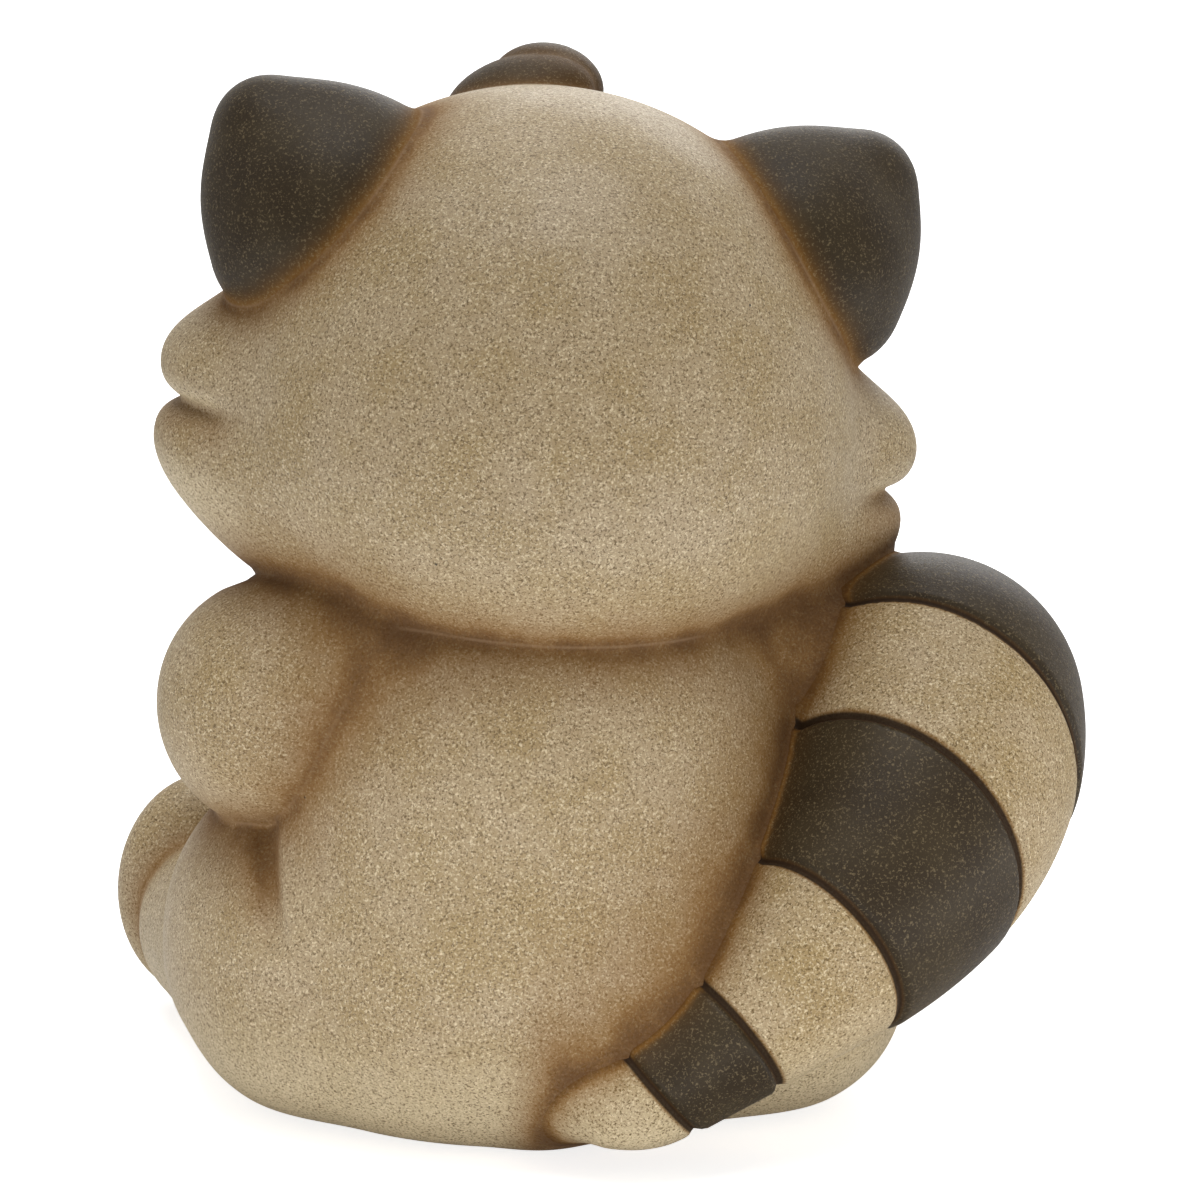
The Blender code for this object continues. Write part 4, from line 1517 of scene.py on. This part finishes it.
class Effects:
    """The shader groups that the finishes share, each built once. Places are in millimetres.

    A pair is the two limits of a noise or a gap between which an effect rises from 0 to 1.
    """

    light_offset = (31.0, 17.0, 53.0)
    dark_specks = (0.48, 0.66)
    light_specks = (0.50, 0.68)
    mottle = (0.34, 0.66)
    coarse_height = 0.8
    rust_share = (0.02, 0.8)
    core_share = (0.62, 1.1)
    line_fade = (0.0, 1.6)
    line_breaks = (0.42, 0.62)
    dot_nudge = 0.28
    dot_sizes = (0.4, 1.2)
    dot_edge = (0.6, 1.0)

    def __init__(self) -> None:
        """Build every group."""
        self.grain = self.make_grain()
        self.crease = self.make_crease()
        self.pits = self.make_pits()

    def make_grain(self) -> bpy.types.NodeTree:
        """Sprayed slip.

        Returns:
            A group that gives fine dark and light specks, a soft mottle, and the height of the droplets.
        """
        takes = {"Place": None, "Grain": 0.3, "Patch": 9.0}
        names = ("Dark Specks", "Light Specks", "Mottle", "Height")
        sheet, source, target = shader_group("sprayed_grain", takes, names)
        place = source["Place"]
        fine = sheet.math("DIVIDE", 1.0, source["Grain"])
        wide = sheet.math("DIVIDE", 1.0, source["Patch"])
        inputs = {0: place, 1: self.light_offset}
        other = sheet.add("ShaderNodeVectorMath", inputs, operation="ADD").outputs[0]
        dark = sheet.noise(place, fine, 3.0, 0.62, 0.4)
        light = sheet.noise(other, fine, 3.0, 0.65, 0.4)
        coarse = sheet.times(sheet.noise(other, 1.1, 2.0), self.coarse_height)
        gives = {
            "Dark Specks": sheet.ramp(dark, *self.dark_specks),
            "Light Specks": sheet.ramp(light, *self.light_specks),
            "Mottle": sheet.ramp(sheet.noise(place, wide, 5.0, 0.62), *self.mottle),
            "Height": sheet.math("ADD", light, coarse),
        }
        sheet.fill(target, gives)
        return sheet.tree

    def make_crease(self) -> bpy.types.NodeTree:
        """Stain sprayed into a crease.

        Returns:
            A group that gives the stain, its dark core, and the pale luting line along the seam.
        """
        takes = {"Place": None, "Stain": 0.0, "Seam": 5.0, "Line Width": 0.24}
        sheet, source, target = shader_group("crease_stain", takes, ("Rust", "Core", "Line"))
        place = source["Place"]
        drift = sheet.ramp(sheet.noise(place, 0.16), 0.3, 0.7, 0.88, 1.1)
        grit = sheet.ramp(sheet.noise(place, 2.6, 2.0, 0.6), 0.25, 0.75, -0.07, 0.07)
        stain = sheet.times(source["Stain"], sheet.math("ADD", drift, grit))
        low, high = self.rust_share
        rust = sheet.add("ShaderNodeMapRange", {"Value": stain, "From Min": low, "From Max": high})
        edge = sheet.math("DIVIDE", source["Seam"], source["Line Width"])
        line = sheet.ramp(edge, *self.line_fade, 1.0, 0.0)
        broken = sheet.ramp(sheet.noise(place, 0.07), *self.line_breaks)
        gives = {
            "Rust": rust.outputs[0],
            "Core": sheet.ramp(stain, *self.core_share),
            "Line": sheet.times(line, broken),
        }
        sheet.fill(target, gives)
        return sheet.tree

    def make_pits(self) -> bpy.types.NodeTree:
        """Pinholes and specks of kiln dust.

        Returns:
            A group that gives rare dots, each with its own size.
        """
        takes = {"Place": None, "Spacing": 4.5, "Radius": 0.17, "Share": 0.35}
        sheet, source, target = shader_group("pits_and_dust", takes, ("Pits",))
        scale = sheet.math("DIVIDE", 1.0, source["Spacing"])
        bent = sheet.add("ShaderNodeTexNoise", {"Vector": source["Place"], "Scale": 3.0}).outputs["Color"]
        inputs = {0: bent, 1: (self.dot_nudge,) * 3, 2: source["Place"]}
        nudged = sheet.add("ShaderNodeVectorMath", inputs, operation="MULTIPLY_ADD").outputs[0]
        cells = sheet.add("ShaderNodeTexVoronoi", {"Vector": nudged, "Scale": scale}).outputs
        gap = sheet.times(cells["Distance"], source["Spacing"])
        tones = sheet.add("ShaderNodeSeparateColor", {0: cells["Color"]}).outputs
        size = sheet.times(source["Radius"], sheet.ramp(tones[1], 0.0, 1.0, *self.dot_sizes))
        dot = sheet.math("SUBTRACT", 1.0, sheet.ramp(sheet.math("DIVIDE", gap, size), *self.dot_edge))
        kept = sheet.math("LESS_THAN", tones[0], source["Share"])
        sheet.fill(target, {"Pits": sheet.times(dot, kept)})
        return sheet.tree


@dataclass(frozen=True)
class EngobeFinish:
    """Satin-matt slip sprayed over fired clay, with stain in its creases.

    Colours are display values. A share is how strongly a layer shows. The sizes of rings, droplets and
    pits are in millimetres.
    """

    name: str
    body: Triple = (155, 133, 93)
    body_light: Triple = (167, 147, 115)
    speck_dark: Triple = (98, 77, 46)
    speck_light: Triple = (228, 212, 178)
    # Cream slip colour; the same colour also paints the light from below on the undersides.
    cream: Triple = (206, 190, 157)
    dark: Triple = (45, 35, 21)
    dark_light: Triple = (56, 46, 30)
    dark_speck: Triple = (150, 132, 100)
    rust: Triple = (121, 83, 33)
    core: Triple = (76, 46, 12)
    line: Triple = (168, 140, 108)
    pit: Triple = (38, 26, 16)
    groove: Triple = (30, 18, 8)
    cream_share: float = 0.75
    speck_dark_share: float = 0.95
    speck_light_share: float = 0.7
    dark_speck_share: float = 0.36
    rust_share: float = 0.86
    rust_speck_share: float = 0.35
    core_share: float = 0.8
    line_share: float = 0.26
    pit_share: float = 0.85
    roughness: float = 0.47
    roughness_span: Span = (-0.03, 0.09)
    rust_roughness: float = 0.35
    specular: float = 0.38
    grain: float = 0.29
    grain_height: float = 0.045
    pit_depth: float = 0.08
    banded: bool = False
    band_edge: Span = (-0.16, 0.02)
    spray_edge: Span = (0.08, 0.95)
    ring_rust: Triple = (-1.0, -0.6, 0.8)
    ring_core: Triple = (-0.72, -0.42, 0.92)
    ring_lip: Span = (0.1, 0.5)
    ring_depth: float = 0.55
    ring_half: float = 0.62

    def build(self, effects: Effects) -> bpy.types.Material:
        """Make the material.

        Args:
            effects: The shared shader groups.

        Returns:
            The new material.
        """
        material, sheet, shader = new_material(self.name)
        place = sheet.place()
        grain = sheet.group(effects.grain, {"Place": place, "Grain": self.grain})
        pits = sheet.group(effects.pits, {"Place": place})["Pits"]
        mask = {key: sheet.attribute(key) for key in ("stain", "seam", "dark", "pale", "ring")}
        inputs = {"Place": place, "Stain": mask["stain"], "Seam": mask["seam"]}
        crease = sheet.group(effects.crease, inputs)
        rust = crease["Rust"]
        if self.banded:
            rust = sheet.math("MAXIMUM", rust, self.ring_stain(sheet, mask["ring"], *self.ring_rust))
        light_specks = sheet.times(grain["Light Specks"], self.rust_speck_share)
        speckled_rust = sheet.mix(light_specks, linear(self.rust), linear(self.body))
        layers = [
            (self.cover(sheet, place, mask), self.dark_slip(sheet, grain)),
            (sheet.times(rust, self.rust_share), speckled_rust),
            (sheet.times(crease["Core"], self.core_share), linear(self.core)),
        ]
        if self.banded:
            layers.append((self.ring_stain(sheet, mask["ring"], *self.ring_core), linear(self.groove)))
        layers.append((sheet.times(crease["Line"], self.line_share), linear(self.line)))
        layers.append((sheet.times(pits, self.pit_share), linear(self.pit)))
        colour = self.light_slip(sheet, grain, mask["pale"])
        for share, layer in layers:
            colour = sheet.mix(share, colour, layer)
        low, high = (self.roughness + shift for shift in self.roughness_span)
        rough = sheet.ramp(grain["Dark Specks"], 0.0, 1.0, low, high)
        inputs = {
            "Base Color": colour,
            "Roughness": sheet.math("ADD", rough, sheet.times(rust, self.rust_roughness)),
            "Specular IOR Level": self.specular,
            "Normal": self.relief(sheet, grain["Height"], pits, mask["ring"]),
        }
        sheet.fill(shader, inputs)
        return material

    def light_slip(self, sheet: Sheet, grain: dict[str, Socket], pale: Socket) -> Socket:
        """The beige slip with its specks, lighter where cream was sprayed and where light from below is
        painted on.

        Args:
            sheet: The material's sheet.
            grain: What the grain group gives.
            pale: The mask of the cream and of the light painted on from below.

        Returns:
            The colour.
        """
        body = sheet.mix(grain["Mottle"], linear(self.body), linear(self.body_light))
        # The pale mask mixes in the cream slip and the painted light from below.
        for value, share, paint in (
            (pale, self.cream_share, self.cream),
            (grain["Dark Specks"], self.speck_dark_share, self.speck_dark),
            (grain["Light Specks"], self.speck_light_share, self.speck_light),
        ):
            body = sheet.mix(sheet.times(value, share), body, linear(paint))
        return body

    def dark_slip(self, sheet: Sheet, grain: dict[str, Socket]) -> Socket:
        """The dark brown slip with its pale specks.

        Args:
            sheet: The material's sheet.
            grain: What the grain group gives.

        Returns:
            The colour.
        """
        body = sheet.mix(grain["Mottle"], linear(self.dark), linear(self.dark_light))
        sharp = sheet.ramp(grain["Light Specks"], 0.15, 1.0)
        return sheet.mix(sheet.times(sharp, self.dark_speck_share), body, linear(self.dark_speck))

    def cover(self, sheet: Sheet, place: Socket, mask: dict[str, Socket]) -> Socket:
        """Where the dark slip lies, with an uneven sprayed edge or the crisp edge of a ring.

        Args:
            sheet: The material's sheet.
            place: Object coordinates in millimetres.
            mask: The masks that the piece carries.

        Returns:
            A share from 0 to 1.
        """
        if self.banded:
            return sheet.ramp(mask["ring"], *self.band_edge)
        uneven = sheet.ramp(sheet.noise(place, 1.6, 3.0, 0.7), 0.3, 0.7, -0.1, 0.1)
        return sheet.ramp(sheet.math("ADD", mask["dark"], uneven), *self.spray_edge)

    def ring_stain(self, sheet: Sheet, ring: Socket, start: float, full: float, amount: float) -> Socket:
        """Stain in a carved ring, on the light side and just over its lip.

        Args:
            sheet: The material's sheet.
            ring: The signed distance to the ring.
            start: Where the stain begins.
            full: Where it is full.
            amount: How strong it is there.

        Returns:
            A share from 0 to 1.
        """
        rise = sheet.ramp(ring, start, full, 0.0, amount)
        return sheet.times(rise, sheet.ramp(ring, *self.ring_lip, 1.0, 0.0))

    def relief(self, sheet: Sheet, height: Socket, pits: Socket, ring: Socket) -> Socket:
        """Droplets, pits and, on the tail, the crisp profile of the rings.

        Args:
            sheet: The material's sheet.
            height: The height of the droplets.
            pits: Where the pits are.
            ring: The signed distance to the nearest ring.

        Returns:
            The bumped normal.
        """
        total = sheet.times(height, self.grain_height)
        total = sheet.math("SUBTRACT", total, sheet.times(pits, self.pit_depth))
        if self.banded:
            share = sheet.math("DIVIDE", ring, self.ring_half)
            hump = sheet.math("EXPONENT", sheet.times(sheet.times(share, share), -1.0))
            total = sheet.math("SUBTRACT", total, sheet.times(hump, self.ring_depth))
            proud = sheet.ramp(ring, *TailForm.proud_span, 0.0, TailForm.dark_proud)
            total = sheet.math("ADD", total, proud)
        inputs = {"Height": total, "Distance": MILLIMETRE, "Strength": 1.0}
        return sheet.add("ShaderNodeBump", inputs).outputs["Normal"]


@dataclass(frozen=True)
class GlazeFinish:
    """Glossy black glaze over fired clay, pooled a little unevenly."""

    name: str = "black_glaze"
    deep: Triple = (14, 12, 11)
    thin: Triple = (44, 33, 25)
    roughness: float = 0.12
    roughness_span: Span = (-0.04, 0.08)
    coat_roughness: float = 0.04
    wave_height: float = 0.05

    def build(self) -> bpy.types.Material:
        """Make the material.

        Returns:
            The new material.
        """
        material, sheet, shader = new_material(self.name)
        place = sheet.place()
        pool = sheet.ramp(sheet.noise(place, 0.7, 3.0), 0.45, 0.75)
        low, high = (self.roughness + shift for shift in self.roughness_span)
        wave = sheet.times(sheet.noise(place, 0.9, 1.0), self.wave_height)
        bump = sheet.add("ShaderNodeBump", {"Height": wave, "Distance": MILLIMETRE})
        inputs = {
            "Base Color": sheet.mix(pool, linear(self.deep), linear(self.thin)),
            "Roughness": sheet.ramp(sheet.noise(place, 2.5), 0.3, 0.7, low, high),
            "Coat Weight": 1.0,
            "Coat Roughness": self.coat_roughness,
            "Normal": bump.outputs["Normal"],
        }
        sheet.fill(shader, inputs)
        return material


class Face:
    """Nose and eyes: small glazed forms with a finer skin of their own."""

    cell = 0.17
    nose = Lump((0, -40.6, -5.5), (4.7, 3.3, 3.1))
    nose_tip = Lump((0, -40.4, -7.2), (2.8, 2.9, 2.6))
    nostril = Limb((1.7, -45.0, -6.6), (2.3, -42.4, -6.2), 0.75, 0.45)
    eye_halves = (3.0, 2.4, 3.4)
    nose_fillet = 2.0
    nostril_edge = 0.5
    nose_reach = 6.5
    eye_reach = 4.6

    def __init__(self, figurine: Figurine) -> None:
        """Take up the head's frame and form."""
        self.figurine = figurine

    def nose_field(self, points: Array) -> Array:
        """Distance to the nose with its nostrils."""
        local = self.figurine.head_frame.local(points)
        body = smooth_min(self.nose.distance(local), self.nose_tip.distance(local), self.nose_fillet)
        return smooth_max(body, -self.nostril.distance(both_sides(local)), self.nostril_edge)

    def eye_field(self, side: int) -> Field:
        """The field of one eye."""
        across, ahead, lift = self.figurine.head.eye_place()
        form = Lump((side * across, ahead, lift), self.eye_halves)
        return lambda points: form.distance(self.figurine.head_frame.local(points))

    def piece(self, name: str, field: Field, centre: Triple, reach: float) -> bpy.types.Object:
        """Skin one small form.

        Args:
            name: The node that it stands for.
            field: Its distance field.
            centre: Its middle in the head's own frame.
            reach: How far it goes from its middle, in millimetres.

        Returns:
            The new object.
        """
        middle = self.figurine.head_frame.world(np.array([centre], np.float32))[0]
        skin = Skin(field, tuple(middle - reach), tuple(middle + reach), self.cell)
        _, slope = slope_of(field, skin.points, 0.05)
        mesh = quad_mesh(Make.name_of(name), skin.points * MILLIMETRE, skin.quads)
        mesh.normals_split_custom_set_from_vertices(unit(slope).tolist())
        return linked(mesh)

    def build(self) -> dict[str, bpy.types.Object]:
        """Make the nose and both eyes.

        Returns:
            The new objects, by the nodes that they stand for.
        """
        across, ahead, lift = self.figurine.head.eye_place()
        return {
            "nose": self.piece("nose", self.nose_field, self.nose.centre, self.nose_reach),
            **{
                name: self.piece(name, self.eye_field(side), (side * across, ahead, lift), self.eye_reach)
                for name, side in (("eye_left", 1), ("eye_right", -1))
            },
        }


@dataclass(frozen=True)
class ToePads:
    """Soft pads in an arc on the sole of each foot, set out by Geometry Nodes."""

    count: int = 4
    arc_radius: float = 7.2
    arc_degrees: float = 112.0
    pad_radius: float = 2.05
    heel_radius: float = 4.3
    proud: float = 0.35
    drop: float = 1.5
    toe_squash: Triple = (1.0, 1.22, 0.55)
    heel_squash: Triple = (1.15, 0.9, 0.4)
    seating_rounds: int = 12
    seam_gap: float = 5.0

    def tree(self, material: bpy.types.Material) -> bpy.types.NodeTree:
        """The node tree that sets the pads out.

        Args:
            material: The finish of the pads.

        Returns:
            A Geometry Nodes tree with named inputs for its sizes.
        """
        group = bpy.data.node_groups.new("toe_pads", "GeometryNodeTree")
        sizes = {
            "Count": ("NodeSocketInt", self.count),
            "Arc Radius": ("NodeSocketFloat", self.arc_radius * MILLIMETRE),
            "Arc Angle": ("NodeSocketFloat", math.radians(self.arc_degrees)),
            "Pad Radius": ("NodeSocketFloat", self.pad_radius * MILLIMETRE),
            "Heel Radius": ("NodeSocketFloat", self.heel_radius * MILLIMETRE),
        }
        for key, (kind, value) in sizes.items():
            group.interface.new_socket(key, in_out="INPUT", socket_type=kind).default_value = value
        group.interface.new_socket("Geometry", in_out="OUTPUT", socket_type="NodeSocketGeometry")
        sheet = Sheet(group)
        source = sheet.add("NodeGroupInput").outputs
        inputs = {
            "Resolution": source["Count"],
            "Radius": source["Arc Radius"],
            "Start Angle": sheet.math("SUBTRACT", math.pi / 2, sheet.times(source["Arc Angle"], 0.5)),
            "Sweep Angle": source["Arc Angle"],
        }
        arc = sheet.add("GeometryNodeCurveArc", inputs).outputs["Curve"]
        ball = self.ball(sheet, source["Pad Radius"], self.toe_squash)
        toes = sheet.add("GeometryNodeInstanceOnPoints", {"Points": arc, "Instance": ball}).outputs[0]
        heel = self.ball(sheet, source["Heel Radius"], self.heel_squash)
        joined = sheet.add("GeometryNodeJoinGeometry")
        group.links.new(toes, joined.inputs[0])
        group.links.new(heel, joined.inputs[0])
        real = sheet.add("GeometryNodeRealizeInstances", {0: joined.outputs[0]}).outputs[0]
        smooth = sheet.add("GeometryNodeSetShadeSmooth", {"Geometry": real}).outputs[0]
        dressed = sheet.add("GeometryNodeSetMaterial", {"Geometry": smooth, "Material": material})
        sheet.add("NodeGroupOutput", {"Geometry": dressed.outputs[0]})
        return group

    def ball(self, sheet: Sheet, radius: Socket, squash: Triple) -> Socket:
        """A squashed round pad."""
        ball = sheet.add("GeometryNodeMeshIcoSphere", {"Radius": radius, "Subdivisions": 5}).outputs[0]
        return sheet.add("GeometryNodeTransform", {"Geometry": ball, "Scale": squash}).outputs[0]

    def build(self, name: str, group: bpy.types.NodeTree, figurine: Figurine, side: int) -> bpy.types.Object:
        """Set the pads on one sole.

        Args:
            name: The piece's name.
            group: The Geometry Nodes tree.
            figurine: The blended forms.
            side: 1 for the left foot and -1 for the right.

        Returns:
            The new object, its place in its mesh.
        """
        holder = linked(bpy.data.meshes.new(name + "_guide"))
        holder.modifiers.new("pads", "NODES").node_group = group
        graph = bpy.context.evaluated_depsgraph_get()
        mesh = bpy.data.meshes.new_from_object(holder.evaluated_get(graph))
        bpy.data.objects.remove(holder)
        mesh.name = name
        sole = figurine.foot.sole
        upright = Matrix.Rotation(math.radians(90), 4, "X")
        turn = Matrix.Rotation(math.radians(side * sole.turn), 4, "Z")
        centre = Vector((side * sole.centre[0], sole.centre[1], sole.centre[2] - self.drop)) * MILLIMETRE
        mesh.transform(Matrix.Translation(centre) @ turn @ upright)
        self.seat(mesh, figurine)
        for name, value in (("dark", 1.0), ("seam", self.seam_gap)):
            set_mask(mesh, name, np.full(len(mesh.vertices), value))
        return linked(mesh)

    def seat(self, mesh: bpy.types.Mesh, figurine: Figurine) -> None:
        """Press the pads on to the curved sole, each point by its own height over the flat.

        Args:
            mesh: The pads, at their place in front of the flat.
            figurine: The blended forms.
        """
        points = np.empty(len(mesh.vertices) * 3, np.float32)
        mesh.vertices.foreach_get("co", points)
        points = points.reshape(-1, 3) / MILLIMETRE
        flat = figurine.foot.sole.centre[1]
        height = -(points[:, 1] - flat)
        shadow = points.copy()
        shadow[:, 1] = flat - figurine.foot.sole.halves[1]
        for _ in range(self.seating_rounds):
            shadow[:, 1] += figurine.foot.sole.distance(both_sides(shadow))
        shadow[:, 1] -= height - self.proud
        mesh.vertices.foreach_set("co", (shadow * MILLIMETRE).ravel())
        mesh.update()


@dataclass(frozen=True)
class Softbox:
    """A soft rectangular light: where it stands and its two sizes in metres, and its power in watts."""

    name: str
    place: Triple
    width: float
    height: float
    power: float

    def build(self, target: Vector) -> None:
        """Hang the light up.

        Args:
            target: What it is aimed at, in metres.
        """
        data = bpy.data.lights.new(self.name, "AREA")
        data.shape = "RECTANGLE"
        data.size, data.size_y = self.width, self.height
        data.energy = self.power
        item = bpy.data.objects.new(self.name, data)
        bpy.context.scene.collection.objects.link(item)
        item.location = self.place
        item.rotation_euler = (target - Vector(self.place)).to_track_quat("-Z", "Y").to_euler()


@dataclass(frozen=True)
class Studio:
    """The camera at the photograph's angle, a white sweep and soft light."""

    azimuth: float = 170.0
    elevation: float = 14.0
    distance: float = 0.8
    target: Triple = (-0.0083, 0.0, 0.0586)
    metres_per_pixel: float = 0.000115
    picture: int = 1200
    sensor: float = 36.0
    clip: Span = (0.05, 20.0)
    floor_size: float = 6.0
    floor_tones: Span = (0.9, 0.92)
    floor_roughness: float = 0.9
    floor_glow: float = 0.75
    sky_light: float = 0.25
    lights: tuple[Softbox, ...] = (
        Softbox("overhead softbox", (0.0, 0.1, 1.3), 1.0, 1.0, 11.9),
        Softbox("face fill", (-0.5, -1.2, 0.7), 0.9, 0.9, 5.0),
        Softbox("low strip behind", (0.02, 0.13, 0.013), 0.2, 0.02, 0.062),
        Softbox("low strip left", (0.15, 0.03, 0.013), 0.2, 0.02, 0.04),
        Softbox("low strip right", (-0.14, 0.09, 0.013), 0.2, 0.02, 0.075),
    )

    def backward(self) -> Vector:
        """The direction from the target to the camera."""
        turn, lift = math.radians(self.azimuth), math.radians(self.elevation)
        return Vector((math.sin(turn) * math.cos(lift), -math.cos(turn) * math.cos(lift), math.sin(lift)))

    def camera(self) -> None:
        """Stand the camera up and make it the scene's."""
        data = bpy.data.cameras.new("camera")
        data.sensor_width = self.sensor
        data.lens = self.distance / (self.metres_per_pixel * self.picture) * self.sensor
        data.clip_start, data.clip_end = self.clip
        item = bpy.data.objects.new("camera", data)
        bpy.context.scene.collection.objects.link(item)
        item.location = Vector(self.target) + self.backward() * self.distance
        item.rotation_euler = (-self.backward()).to_track_quat("-Z", "Y").to_euler()
        bpy.context.scene.camera = item

    def floor(self) -> None:
        """A white floor that takes the figurine's soft shadow."""
        half = self.floor_size / 2
        corners = np.array([(-half, -half, 0), (half, -half, 0), (half, half, 0), (-half, half, 0)])
        item = linked(quad_mesh("floor", corners, np.array([[0, 1, 2, 3]])))
        material, sheet, shader = new_material("white_sweep")
        source = sheet.add("ShaderNodeTexCoord").outputs["Object"]
        tone = sheet.ramp(sheet.noise(source, 3.0), 0.3, 0.7)
        seen = sheet.add("ShaderNodeLightPath").outputs["Is Camera Ray"]
        low, high = ((level, level, level, 1) for level in self.floor_tones)
        inputs = {
            "Base Color": sheet.mix(tone, low, high),
            "Roughness": self.floor_roughness,
            "Specular IOR Level": 0.0,
            "Emission Color": (1, 1, 1, 1),
            "Emission Strength": sheet.times(seen, self.floor_glow),
        }
        sheet.fill(shader, inputs)
        item.data.materials.append(material)

    def sky(self) -> None:
        """White where it is seen or mirrored, and a plain soft level where it only lights."""
        world = bpy.data.worlds.new("white_studio")
        world.use_nodes = True
        bpy.context.scene.world = world
        sheet = Sheet(world.node_tree)
        path = sheet.add("ShaderNodeLightPath").outputs
        shown = sheet.math("MAXIMUM", path["Is Camera Ray"], path["Is Glossy Ray"])
        shown = sheet.math("MAXIMUM", shown, path["Is Transmission Ray"])
        strength = sheet.ramp(shown, 0.0, 1.0, self.sky_light, 1.0)
        sheet.fill(world.node_tree.nodes["Background"], {"Color": (1, 1, 1, 1), "Strength": strength})

    def build(self) -> None:
        """Set up the whole studio."""
        self.camera()
        self.floor()
        self.sky()
        for light in self.lights:
            light.build(Vector(self.target))
        bpy.context.scene.view_settings.view_transform = "Standard"


def dress(piece: bpy.types.Object, material: bpy.types.Material, node: str | None) -> None:
    """Give a piece its finish and tie it to the frame.

    Args:
        piece: The piece.
        material: Its finish.
        node: The node that it stands for, if it stands for one.
    """
    piece.data.materials.clear()
    piece.data.materials.append(material)
    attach(piece, "root")
    if node:
        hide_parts(node)
    corners = [Vector(corner) / MILLIMETRE for corner in piece.bound_box]
    lowest, highest = corners[LOW_CORNER], corners[HIGH_CORNER]
    LOG.info("%s: %d faces, %s to %s mm", piece.name, len(piece.data.polygons), lowest[:], highest[:])


def main() -> None:
    """Build every piece round the frame, then the studio."""
    logging.basicConfig(level=logging.INFO, format="%(name)s: %(message)s")
    effects = Effects()
    slots = {part["node"]: Slot(part["material_slot"]) for part in frame["record"]["subparts"]}
    finishes = {
        Slot.BEIGE: EngobeFinish("beige_engobe").build(effects),
        Slot.DARK: EngobeFinish("dark_engobe", specular=0.14).build(effects),
        Slot.BANDED: EngobeFinish("banded_engobe", specular=0.16, banded=True).build(effects),
        Slot.GLAZE: GlazeFinish().build(),
    }
    figurine = Figurine()
    hide = Hide(figurine, FINE_CELL)
    LOG.info("skin: %d vertices, %d quads", len(hide.skin.points), len(hide.skin.quads))
    masks = hide.masks()
    for name in figurine.names:
        piece = hide.piece(name, masks)
        dress(piece, finishes[slots[name]], name)
    for name, piece in Face(figurine).build().items():
        dress(piece, finishes[Slot.GLAZE], name)
    pads = ToePads()
    group = pads.tree(finishes[Slot.DARK])
    for side, word in ((1, "left"), (-1, "right")):
        piece = pads.build(f"toe_pads_{word}", group, figurine, side)
        dress(piece, finishes[Slot.DARK], None)
    Studio().build()


if __name__ == "__main__":
    main()
